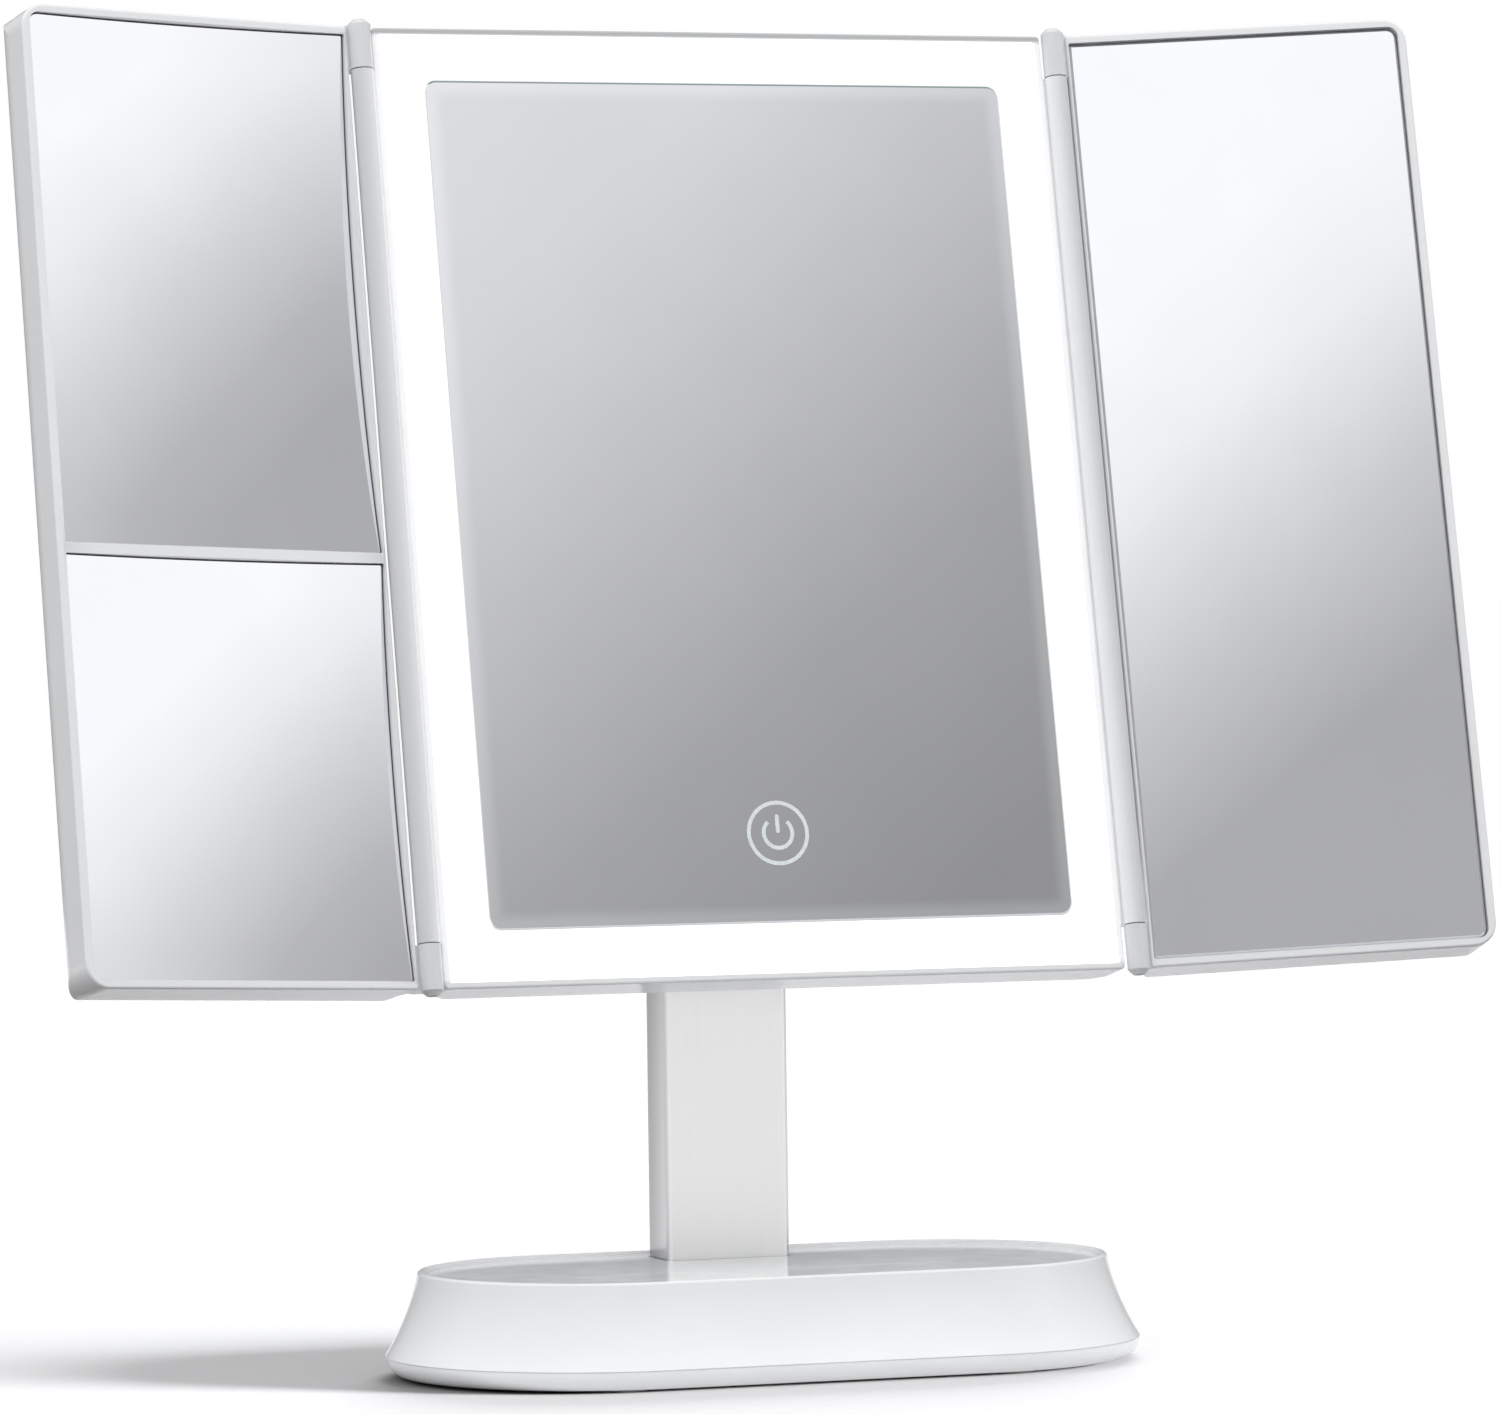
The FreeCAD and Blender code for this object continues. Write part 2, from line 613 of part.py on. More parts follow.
def along(y, towards, start, length, radius, end_radius=None):
    """Round piece on a cell's axis, measured from the spring end towards the nub end."""
    base = Vector(BATTERY_X + towards * (start - BATTERY_HALF_X), y, CELL_Z)
    axis = RIGHT * towards
    if end_radius is None:
        return Part.makeCylinder(radius, length, base, axis)
    return Part.makeCone(radius, end_radius, length, base, axis)


def battery_cells():
    cells = []
    for y, towards in cell_rows():
        start = CONTACT + SPRING
        body = along(y, towards, start, CELL_LENGTH, CELL_RADIUS)
        nub = along(y, towards, start + CELL_LENGTH, CELL_NUB, CELL_NUB_RADIUS)
        cells.append(body.fuse(nub))
    return Part.makeCompound(cells)


def battery_contacts():
    half = CONTACT_SIZE / 2
    pieces = []
    for y, towards in cell_rows():
        spring = along(y, towards, CONTACT, SPRING, SPRING_RADIUS, SPRING_TIP_RADIUS)
        for end in (1, -1):
            x0, x1 = sorted((BATTERY_X + end * BATTERY_HALF_X, BATTERY_X + end * (BATTERY_HALF_X - CONTACT)))
            plate = block(x0, x1, y - half, y + half, CELL_Z - half, CELL_Z + half)
            pieces.append(plate if end == towards else plate.fuse(spring))
    return Part.makeCompound(pieces)


# Ballast and electronics in the base

BOARD_Z = PLATE_TOP + BOARD_STANDOFF
SOCKET_MOUTH = skirt_radius(BOARD_Z + BOARD_THICK + SOCKET_SIZE[2] / 2) - SOCKET_SUNK
SOCKET_FRONT = SOCKET_MOUTH - SOCKET_SIZE[1]
BOARD_RIGHT = BASE_SCREW_X - BASE_BOSS_RADIUS - BOARD_GAP
BOARD_BACK = SOCKET_FRONT - SOCKET_PROUD
BOARD = (BOARD_RIGHT - BOARD_SIZE[0], BOARD_RIGHT, BOARD_BACK - BOARD_SIZE[1], BOARD_BACK)
SOCKET_X = BOARD_RIGHT - BOARD_SIZE[0] / 2


def ballast_plate():
    front = BASE_SCREW_Y - BASE_BOSS_RADIUS - BALLAST_GAP
    reach = math.sqrt((PLATE_LIP_RADIUS - PLATE_LIP_WALL - BALLAST_GAP) ** 2 - front ** 2)
    corners = rectangle(BALLAST_START, BASE_STRAIGHT / 2 + reach, -front, BALLAST_BACK, BALLAST_CORNER)
    return column(corners, PLATE_TOP, PLATE_TOP + BALLAST_THICK)


def control_board():
    x0, x1, y0, y1 = BOARD
    top = BOARD_Z + BOARD_THICK
    board = block(x0, x1, y0, y1, BOARD_Z, top)
    x, y, side, height = CHIP
    chip = block(x0 + x - side / 2, x0 + x + side / 2, y0 + y - side / 2, y0 + y + side / 2, top, top + height)
    cans = [upright(x0 + x, y0 + y, top, top + height, radius) for x, y, radius, height in (COIL, CAPACITOR)]
    return board.fuse([chip] + cans)


def board_standoffs():
    x0, x1, y0, y1 = BOARD
    inset = STANDOFF_INSET
    places = [(x, y) for x in (x0 + inset, x1 - inset) for y in (y0 + inset, y1 - inset)]
    return Part.makeCompound([upright(x, y, PLATE_TOP, BOARD_Z, STANDOFF_RADIUS) for x, y in places])


def socket_outline(grow):
    """Flat-oval outline of the socket's shell, on the control board."""
    half, height = SOCKET_SIZE[0] / 2 + grow, SOCKET_SIZE[2] + 2 * grow
    low = BOARD_Z + BOARD_THICK - grow
    return rectangle(SOCKET_X - half, SOCKET_X + half, low, low + height, height / 2 - HAIR)


def usb_socket():
    half, height = SOCKET_SIZE[0] / 2, SOCKET_SIZE[2]
    z = BOARD_Z + BOARD_THICK
    shell = front_plate(socket_outline(0), SOCKET_FRONT, SOCKET_MOUTH)
    hollow = front_plate(socket_outline(-SOCKET_WALL), SOCKET_FRONT + SOCKET_BACK_WALL, SOCKET_MOUTH + PAST)
    tongue_low = z + (height - TONGUE_SIZE[1]) / 2
    tongue = block(
        SOCKET_X - TONGUE_SIZE[0] / 2, SOCKET_X + TONGUE_SIZE[0] / 2,
        SOCKET_FRONT, SOCKET_MOUTH - TONGUE_SUNK, tongue_low, tongue_low + TONGUE_SIZE[1])
    body = block(SOCKET_X - half, SOCKET_X + half, BOARD_BACK - SOCKET_SEAT, SOCKET_FRONT, z, z + height)
    return shell.cut(hollow).fuse([tongue, body])


# Post

def post_outline(grow):
    half_x = POST_WIDTH / 2 + grow
    half_y = POST_DEPTH / 2 + grow
    radius = max(POST_CORNER + grow, POST_WALL / 4)
    return rectangle(-half_x, half_x, POST_SETBACK - half_y, POST_SETBACK + half_y, radius)


def post_tube():
    top = TILT_AXIS_HEIGHT + POST_ABOVE_AXIS
    tube = column(post_outline(0), POST_FOOT_HEIGHT, top)
    bore = column(post_outline(-POST_WALL), POST_FOOT_HEIGHT - PAST, top + PAST)
    cross_hole = crosswise(-POST_WIDTH, POST_WIDTH, BUSH_RADIUS)
    return tube.cut([bore, placed(cross_hole, 0, POST_SETBACK, TILT_AXIS_HEIGHT)])


def flange_screws():
    x, y = FLANGE_SCREW_X, FLANGE_SCREW_Y
    return [(side * x, POST_SETBACK + end * y) for side in (1, -1) for end in (1, -1)]


def post_flange():
    half_y = POST_DEPTH / 2 + FLANGE_MARGIN_Y
    y0, y1 = POST_SETBACK - half_y, POST_SETBACK + half_y
    corners = rectangle(-FLANGE_HALF_X, FLANGE_HALF_X, y0, y1, FLANGE_CORNER)
    plate = column(corners, FLANGE_TOP - FLANGE_THICK, FLANGE_TOP)
    holes = [upright(x, y, POST_FOOT_HEIGHT, FLANGE_TOP + PAST, SCREW_RADIUS) for x, y in flange_screws()]
    return plate.cut([column(post_outline(0), POST_FOOT_HEIGHT, FLANGE_TOP + PAST)] + holes)


def flange_screw_set():
    length = FLANGE_THICK + FLANGE_BITE
    seat = FLANGE_TOP - FLANGE_THICK
    return Part.makeCompound([placed(screw(length), x, y, seat) for x, y in flange_screws()])


def post_plug():
    top = TILT_AXIS_HEIGHT + POST_ABOVE_AXIS
    cap = column(post_outline(0), top, top + PLUG_CAP)
    cap = cap.makeChamfer(PLUG_CHAMFER, flat_edges(cap, "Z", top + PLUG_CAP))
    plug = column(post_outline(-POST_WALL), top - PLUG_DEPTH, top)
    core = column(post_outline(-POST_WALL - PLUG_WALL), top - PLUG_DEPTH - PAST, top)
    return cap.fuse(plug.cut(core))


# Tilt hinge, in the head's own frame

EAR_INNER = POST_WIDTH / 2 + WASHER_THICK
EAR_OUTER = EAR_INNER + EAR_THICK


def tilt_bush():
    return crosswise(-POST_WIDTH / 2, POST_WIDTH / 2, BUSH_RADIUS).cut(
        crosswise(-POST_WIDTH, POST_WIDTH, PIN_RADIUS + RUNNING_FIT))


def friction_washers():
    disc = crosswise(POST_WIDTH / 2, EAR_INNER, WASHER_RADIUS)
    disc = disc.cut(crosswise(0, POST_WIDTH, PIN_RADIUS + RUNNING_FIT))
    return Part.makeCompound([disc, disc.mirror(ORIGIN, RIGHT)])


def bracket_screw_places():
    return four_ways(*BRACKET_SCREW_AT)


def tilt_bracket():
    half_x, half_z = BRACKET_WIDTH / 2, BRACKET_HEIGHT / 2
    plate_outline = rectangle(-half_x, half_x, -half_z, half_z, BRACKET_CORNER)
    plate = front_plate(plate_outline, HOUSING_BACK_Y, BRACKET_BACK_Y)
    ear_outline = [
        (HOUSING_BACK_Y, -EAR_ROOT, 0), (EAR_RADIUS, -EAR_RADIUS, EAR_RADIUS - HAIR),
        (EAR_RADIUS, EAR_RADIUS, EAR_RADIUS - HAIR), (HOUSING_BACK_Y, EAR_ROOT, 0)]
    ear = side_plate(ear_outline, EAR_INNER, EAR_OUTER)
    bracket = plate.fuse([ear, ear.mirror(ORIGIN, RIGHT)])
    holes = [lengthwise(x, HOUSING_BACK_Y - PAST, BRACKET_BACK_Y + PAST, z, SCREW_RADIUS)
             for x, z in bracket_screw_places()]
    return bracket.cut(holes + [crosswise(-POST_WIDTH, POST_WIDTH, PIN_RADIUS)])


def bracket_screws():
    fastener = screw(BRACKET_THICK + BRACKET_BITE)
    fastener.rotate(ORIGIN, RIGHT, 90)
    return Part.makeCompound([placed(fastener, x, BRACKET_BACK_Y, z) for x, z in bracket_screw_places()])


def tilt_pin():
    shank = crosswise(-EAR_OUTER, EAR_OUTER + NUT_THICK + PIN_PROUD, PIN_RADIUS)
    head = crosswise(-EAR_OUTER - PIN_HEAD, -EAR_OUTER, PIN_HEAD_RADIUS)
    rim = [e for e in head.Edges if e.BoundBox.XMax < -EAR_OUTER - PIN_HEAD + 1e-3]
    return shank.fuse(head.makeChamfer(PIN_HEAD_CHAMFER, rim))


def tilt_nut():
    radius = NUT_ACROSS / math.sqrt(3)
    turns = [math.radians(60 * i) for i in range(6)]
    corners = [(radius * math.cos(turn), radius * math.sin(turn), 0) for turn in turns]
    return side_plate(corners, EAR_OUTER, EAR_OUTER + NUT_THICK).cut(crosswise(0, 2 * POST_WIDTH, PIN_RADIUS))


# Panels: a flat front and rounded back edges

def panel_body(x0, x1, y0, y1, height, back0, back1, corner0, corner1, end):
    """Solid panel. At x0 and x1, back rounds the upright back edge and corner the front view."""
    z0, z1 = -height / 2, height / 2
    plan = column([(x0, y0, 0), (x1, y0, 0), (x1, y1, back1), (x0, y1, back0)], z0, z1)
    face = front_plate([(x0, z0, corner0), (x1, z0, corner1), (x1, z1, corner1), (x0, z1, corner0)], y0, y1)
    profile = side_plate([(y0, z0, 0), (y1, z0, end), (y1, z1, end), (y0, z1, 0)], min(x0, x1), max(x0, x1))
    return plan.common(face).common(profile)


def barrel(side):
    """Long hinge barrel on the centre panel, with the web that carries it."""
    x = side * HINGE_X
    tube = upright(x, -HINGE_FORWARD, -BARREL_END, BARREL_END, BARREL_RADIUS)
    web_x = sorted((x, side * (HOUSING_X - PANEL_WALL / 2)))
    web_y = RIM_Y + RIM_SETBACK
    web = block(*web_x, web_y, web_y + WEB_DEPTH, -BARREL_END, BARREL_END)
    bores = [upright(x, -HINGE_FORWARD, *ends, HINGE_BUSH_RADIUS) for ends in bush_spans()]
    return tube.fuse(web).cut(bores)


def bush_spans():
    return [(BARREL_END - HINGE_PIN_REACH, BARREL_END), (-BARREL_END, -BARREL_END + HINGE_PIN_REACH)]


def tray_posts():
    x, end_z = GLASS_HALF - TRAY_POST_INSET, PANEL_TOP - TRAY_POST_END
    return [(side * x, z) for side in (1, -1) for z in (-end_z, 0, end_z)]


def centre_housing():
    radius, wall = BACK_CORNER, PANEL_WALL
    outer = panel_body(
        -HOUSING_X, HOUSING_X, RIM_Y, HOUSING_BACK_Y, PANEL_HEIGHT,
        radius, radius, HOUSING_CORNER, HOUSING_CORNER, END_CORNER)
    outer = outer.makeFillet(LIP_ROUND, flat_edges(outer, "Y", RIM_Y))
    inner_x = HOUSING_X - wall
    inner = panel_body(
        -inner_x, inner_x, RIM_Y, HOUSING_INNER_Y, PANEL_HEIGHT - 2 * wall,
        radius - wall, radius - wall, 0, 0, END_CORNER - wall)
    tray_back = LIGHT_TRAY_Y + TRAY_PLATE
    posts = [lengthwise(x, tray_back, HOUSING_INNER_Y, z, TRAY_POST_RADIUS) for x, z in tray_posts()]
    boss_front = HOUSING_BACK_Y - BRACKET_BITE - BRACKET_BOSS_END
    bosses = [lengthwise(x, boss_front, HOUSING_INNER_Y, z, BRACKET_BOSS_RADIUS)
              for x, z in bracket_screw_places()]
    housing = outer.cut(inner).fuse(posts + bosses + [barrel(1), barrel(-1)])
    holes = [lengthwise(x, HOUSING_BACK_Y - BRACKET_BITE, HOUSING_BACK_Y, z, SCREW_RADIUS)
             for x, z in bracket_screw_places()]
    holes += [lengthwise(x, tray_back, tray_back + TRAY_SCREW_BITE, z, SCREW_RADIUS) for x, z in tray_posts()]
    lead_z = BRACKET_HEIGHT / 2 + LEAD_HOLE_UP
    lead_hole = lengthwise(0, HOUSING_INNER_Y - PAST, HOUSING_BACK_Y + PAST, lead_z, LEAD_HOLE_RADIUS)
    return housing.cut(holes + [lead_hole]).removeSplitter()


def glass_outline(grow):
    half = GLASS_HALF + grow
    return rectangle(-half, half, GLASS_LOW - grow, GLASS_HIGH + grow, GLASS_CORNER + grow)


def diffuser():
    x, z = HOUSING_X - PANEL_WALL - DIFFUSER_CLEAR, PANEL_TOP - PANEL_WALL - DIFFUSER_CLEAR
    plate = front_plate(rectangle(-x, x, -z, z, DIFFUSER_CORNER), GLASS_Y, GLASS_Y + DIFFUSER_THICK)
    return plate.cut(front_plate(glass_outline(GLASS_CLEAR), GLASS_Y - PAST, GLASS_BACK_Y + PAST))


ICON_Z = GLASS_LOW + ICON_UP


def icon_ring(radius):
    outer = lengthwise(0, GLASS_Y, GLASS_Y + ICON_DEPTH, ICON_Z, radius)
    return outer.cut(lengthwise(0, GLASS_Y - PAST, GLASS_Y + PAST, ICON_Z, radius - ICON_STROKE))


def power_icon():
    half = math.radians(ICON_ARC_GAP)
    reach = 2 * ICON_ARC_RADIUS
    opening = [(0, ICON_Z, 0), (reach * math.sin(half), ICON_Z + reach * math.cos(half), 0),
               (-reach * math.sin(half), ICON_Z + reach * math.cos(half), 0)]
    arc = icon_ring(ICON_ARC_RADIUS).cut(front_plate(opening, GLASS_Y - PAST, GLASS_Y + PAST))
    stroke = ICON_STROKE / 2
    bar_outline = rectangle(-stroke, stroke, ICON_Z, ICON_Z + ICON_BAR, stroke - HAIR)
    bar = front_plate(bar_outline, GLASS_Y, GLASS_Y + ICON_DEPTH)
    return Part.makeCompound([icon_ring(ICON_RING_RADIUS), arc, bar])


def main_mirror():
    plate = front_plate(glass_outline(0), GLASS_Y, GLASS_BACK_Y)
    plate = plate.makeChamfer(GLASS_BEVEL, flat_edges(plate, "Y", GLASS_Y))
    return plate.cut(power_icon())


def mirror_carrier():
    plate = front_plate(glass_outline(CARRIER_OVERLAP), GLASS_BACK_Y, CARRIER_BACK_Y)
    return plate.cut(lengthwise(0, GLASS_BACK_Y - PAST, CARRIER_BACK_Y + PAST, ICON_Z, TOUCH_PAD_RADIUS))


def touch_pad():
    return lengthwise(0, GLASS_BACK_Y, CARRIER_BACK_Y, ICON_Z, TOUCH_PAD_RADIUS)


def touch_board():
    half = TOUCH_BOARD / 2
    chip_y = CARRIER_BACK_Y + TOUCH_BOARD_THICK
    board_outline = rectangle(-half, half, ICON_Z - half, ICON_Z + half, TOUCH_BOARD_CORNER)
    plate = front_plate(board_outline, CARRIER_BACK_Y, chip_y)
    chip = TOUCH_CHIP[0] / 2
    return plate.fuse(block(-chip, chip, chip_y, chip_y + TOUCH_CHIP[1], ICON_Z - chip, ICON_Z + chip))


# Light tray behind the lit border, screwed to posts in the housing

def tray_half_width():
    """Widest the tray can be inside the housing's rounded back edges."""
    depth = LIGHT_TRAY_Y + TRAY_PLATE - (HOUSING_BACK_Y - BACK_CORNER)
    radius = BACK_CORNER - PANEL_WALL
    return HOUSING_X - BACK_CORNER + math.sqrt(radius ** 2 - max(depth, 0) ** 2) - TRAY_CLEAR


def inside_glass(inset, radius):
    """Front outline that follows the glass's edge at an inset."""
    half = GLASS_HALF - inset
    return rectangle(-half, half, GLASS_LOW + inset, GLASS_HIGH - inset, radius)


def light_tray():
    x, z = tray_half_width(), PANEL_TOP - PANEL_WALL - TRAY_CLEAR
    front, back = LIGHT_TRAY_Y, LIGHT_TRAY_Y + TRAY_PLATE
    plate = front_plate(rectangle(-x, x, -z, z, TRAY_CORNER), front, back)
    fence = front_plate(inside_glass(FENCE_INSET, FENCE_CORNER), CARRIER_BACK_Y, front)
    hollow_outline = inside_glass(FENCE_INSET + TRAY_PLATE, FENCE_CORNER - TRAY_PLATE)
    hollow = front_plate(hollow_outline, CARRIER_BACK_Y - PAST, front)
    window_outline = inside_glass(TRAY_WINDOW_INSET, TRAY_WINDOW_CORNER)
    window = front_plate(window_outline, front - PAST, back + PAST)
    holes = [lengthwise(x, front - PAST, back + PAST, z, SCREW_RADIUS) for x, z in tray_posts()]
    return plate.fuse(fence.cut(hollow)).cut([window] + holes)


def light_tray_screws():
    fastener = screw(TRAY_PLATE + TRAY_SCREW_BITE)
    fastener.rotate(ORIGIN, RIGHT, -90)
    return Part.makeCompound([placed(fastener, x, LIGHT_TRAY_Y, z) for x, z in tray_posts()])


def led_lines():
    """Middle of each strip as (x, z, half length, upright)."""
    side_x = (GLASS_HALF + tray_half_width() - LED_BOARD_GAP) / 2
    low = -PANEL_TOP + (GLASS_BOTTOM + PANEL_WALL) / 2
    high = PANEL_TOP - (GLASS_TOP + PANEL_WALL) / 2
    across, tall = side_x - LED_BOARD_WIDTH / 2 - LED_BOARD_GAP, (high - low) / 2 + LED_BOARD_WIDTH / 2
    sides = [(side_x, 0, tall, True), (-side_x, 0, tall, True)]
    return sides + [(0, low, across, False), (0, high, across, False)]


def led_boards():
    boards = []
    for x, z, half, is_upright in led_lines():
        half_x, half_z = (LED_BOARD_WIDTH / 2, half) if is_upright else (half, LED_BOARD_WIDTH / 2)
        front = LIGHT_TRAY_Y - LED_BOARD_THICK
        boards.append(block(x - half_x, x + half_x, front, LIGHT_TRAY_Y, z - half_z, z + half_z))
    return Part.makeCompound(boards)


def led_chips():
    half_x, depth, half_z = LED_SIZE[0] / 2, LED_SIZE[1], LED_SIZE[2] / 2
    back = LIGHT_TRAY_Y - LED_BOARD_THICK
    chips = []
    for x, z, half, is_upright in led_lines():
        count = int(2 * (half - LED_PITCH / 2) // LED_PITCH) + 1
        for i in range(count):
            step = (i - (count - 1) / 2) * LED_PITCH
            cx, cz = (x, z + step) if is_upright else (x + step, z)
            chips.append(block(cx - half_x, cx + half_x, back - depth, back, cz - half_z, cz + half_z))
    return Part.makeCompound(chips)


# Wings, drawn flat open in the head's own frame; side is -1 for the left and 1 for the right

WING_HINGE_EDGE = HINGE_X + BARREL_RADIUS + BARREL_CLEAR
WING_OUTER_EDGE = HINGE_X + WING_WIDTH
WING_MIDDLE = (WING_HINGE_EDGE + WING_OUTER_EDGE) / 2


def wing_body(side, inset):
    return panel_body(
        side * (WING_HINGE_EDGE + inset), side * (WING_OUTER_EDGE - inset), WING_Y, WING_BACK_Y - inset,
        PANEL_HEIGHT - 2 * inset, HINGE_BACK_CORNER - inset, BACK_CORNER - inset,
        WING_HINGE_CORNER, WING_CORNER - inset, END_CORNER - inset)


def slab(y0, y1):
    """Slice of the wings' space from front to back."""
    x, z = WING_OUTER_EDGE + PAST, KNUCKLE_END + PAST
    return block(-x, x, y0, y1, -z, z)


def opening(side, z0, z1, inset, corner_low, corner_high):
    """Front outline of a mirror opening, rounded at its outer corners only."""
    hinge_x = side * (WING_HINGE_EDGE + HINGE_LIP + inset)
    outer_x = side * (WING_OUTER_EDGE - LIP - inset)
    return [(hinge_x, z0 + inset, TIGHT_CORNER), (outer_x, z0 + inset, corner_low),
            (outer_x, z1 - inset, corner_high), (hinge_x, z1 - inset, TIGHT_CORNER)]


def knuckle_pair(side):
    """The two short hinge knuckles, each with the web that joins it to the wing frame."""
    x = side * HINGE_X
    pieces = []
    for end in (1, -1):
        low, high = sorted((end * KNUCKLE_START, end * KNUCKLE_END))
        tube = upright(x, -HINGE_FORWARD, low, high, BARREL_RADIUS)
        tube = tube.makeChamfer(KNUCKLE_CHAMFER, flat_edges(tube, "Z", end * KNUCKLE_END))
        shoulder = end * (KNUCKLE_END - KNUCKLE_CHAMFER)
        far = x + side * WEB_REACH
        web_outline = [(x, end * KNUCKLE_START, 0), (far, end * KNUCKLE_START, 0), (far, end * PANEL_TOP, 0),
                       (x + side * BARREL_RADIUS, shoulder, WEB_CORNER), (x, shoulder, 0)]
        pieces += [tube, front_plate(web_outline, WING_Y + LIP_ROUND, WING_Y + LIP_ROUND + WEB_DEPTH)]
    return pieces


def pin_spans():
    """Bottom and top of the two hinge pins; the lower one shows in its knuckle's open end."""
    return [(BARREL_END - HINGE_PIN_REACH, KNUCKLE_START + HINGE_PIN_GRIP),
            (-KNUCKLE_END + HINGE_PIN_SUNK, -BARREL_END + HINGE_PIN_REACH)]


def pin_holes(side):
    x = side * HINGE_X
    return [upright(x, -HINGE_FORWARD, KNUCKLE_START - PAST, KNUCKLE_START + HINGE_PIN_GRIP, HINGE_PIN_RADIUS),
            upright(x, -HINGE_FORWARD, -KNUCKLE_END - PAST, -KNUCKLE_START + PAST, HINGE_PIN_RADIUS)]


def frame_blank(side):
    """Wing frame before its mirror seats are cut: rounded front ring with knuckles."""
    body = wing_body(side, 0).common(slab(WING_Y, WING_SPLIT_Y))
    body = body.makeFillet(LIP_ROUND, flat_edges(body, "Y", WING_Y))
    return body.fuse(knuckle_pair(side)).cut(pin_holes(side))


def mirror_spans(side):
    """Lower and upper limit, dish radius and outer corner radii of each mirror opening on a wing."""
    low, high = -PANEL_TOP + LIP, PANEL_TOP - LIP
    if side > 0:
        return [(low, high, None, OPENING_CORNER, OPENING_CORNER)]
    return [(DIVIDER_UP + DIVIDER / 2, high, UPPER_DISH_RADIUS, TIGHT_CORNER, OPENING_CORNER),
            (low, DIVIDER_UP - DIVIDER / 2, LOWER_DISH_RADIUS, OPENING_CORNER, TIGHT_CORNER)]


def dish(side, z0, z1, radius, thick):
    """Ball whose surface is the face of a dished mirror; thick pushes it to the mirror's back."""
    half_x = (WING_OUTER_EDGE - WING_HINGE_EDGE) / 2 - LIP
    half_z = (z1 - z0) / 2
    sag = radius - math.sqrt(radius ** 2 - half_x ** 2 - half_z ** 2)
    middle_y = WING_Y + MIRROR_RECESS + sag
    return Part.makeSphere(radius + thick, Vector(side * WING_MIDDLE, middle_y - radius, (z0 + z1) / 2))


def mirror_seat(side, z0, z1, radius, corner_low, corner_high):
    prism = front_plate(opening(side, z0, z1, 0, corner_low, corner_high), WING_Y - PAST, WING_SPLIT_Y + PAST)
    if radius is None:
        seat = prism.common(slab(WING_Y - PAST, WING_Y + MIRROR_RECESS + FLAT_MIRROR_THICK))
    else:
        seat = prism.common(dish(side, z0, z1, radius, DISHED_MIRROR_THICK))
    ledge = opening(side, z0, z1, LEDGE, LEDGE_CORNER, LEDGE_CORNER)
    return [seat, front_plate(ledge, WING_Y - PAST, WING_SPLIT_Y + PAST)]


def wing_frame(side):
    cuts = []
    for span in mirror_spans(side):
        cuts += mirror_seat(side, *span)
    return frame_blank(side).cut(cuts)


def wing_cover(side):
    back = slab(WING_SPLIT_Y, WING_BACK_Y + PAST)
    return wing_body(side, COVER_STEP).common(back).cut(wing_body(side, PANEL_WALL))


def wing_mirror(side, z0, z1, radius, corner_low, corner_high):
    edge = opening(side, z0, z1, MIRROR_CLEAR, corner_low, corner_high)
    prism = front_plate(edge, WING_Y, WING_SPLIT_Y + DISHED_MIRROR_THICK)
    if radius is None:
        face = WING_Y + MIRROR_RECESS
        glass = prism.common(slab(face, face + FLAT_MIRROR_THICK))
        return glass.makeChamfer(GLASS_BEVEL, flat_edges(glass, "Y", face))
    ball = dish(side, z0, z1, radius, DISHED_MIRROR_THICK)
    return prism.common(ball).cut(dish(side, z0, z1, radius, 0))


def hinge_pins(side):
    x = side * HINGE_X
    return Part.makeCompound([upright(x, -HINGE_FORWARD, *span, HINGE_PIN_RADIUS) for span in pin_spans()])


def hinge_bushes(side):
    x = side * HINGE_X
    bushes = []
    for low, high in bush_spans():
        sleeve = upright(x, -HINGE_FORWARD, low, high, HINGE_BUSH_RADIUS)
        bore = upright(x, -HINGE_FORWARD, low - PAST, high + PAST, HINGE_PIN_RADIUS + RUNNING_FIT)
        bushes.append(sleeve.cut(bore))
    return Part.makeCompound(bushes)


# Stand
save("base_shell", base_shell())
save("base_plate", base_plate())
save("base_screws", base_screws())
save("rubber_feet", rubber_feet())
save("battery_box", battery_box())
save("battery_cells", battery_cells())
save("battery_contacts", battery_contacts())
save("battery_door", battery_door())
save("ballast_plate", ballast_plate())
save("control_board", control_board())
save("board_standoffs", board_standoffs())
save("usb_socket", usb_socket())
save("post_tube", post_tube())
save("post_flange", post_flange())
save("post_flange_screws", flange_screw_set())
save("post_plug", post_plug())
save("tilt_bush", placed(tilt_bush(), 0, POST_SETBACK, TILT_AXIS_HEIGHT))

# Head
save("tilt_bracket", tilt_bracket(), HEAD)
save("tilt_pin", tilt_pin(), HEAD)
save("tilt_nut", tilt_nut(), HEAD)
save("friction_washers", friction_washers(), HEAD)
save("bracket_screws", bracket_screws(), HEAD)
save("centre_housing", centre_housing(), HEAD)
save("light_diffuser", diffuser(), HEAD)
save("main_mirror", main_mirror(), HEAD)
save("power_icon", power_icon(), HEAD)
save("mirror_carrier", mirror_carrier(), HEAD)
save("touch_pad", touch_pad(), HEAD)
save("touch_board", touch_board(), HEAD)
save("light_tray", light_tray(), HEAD)
save("light_tray_screws", light_tray_screws(), HEAD)
save("led_boards", led_boards(), HEAD)
save("led_chips", led_chips(), HEAD)
save("left_hinge_bushes", hinge_bushes(-1), HEAD)
save("right_hinge_bushes", hinge_bushes(1), HEAD)

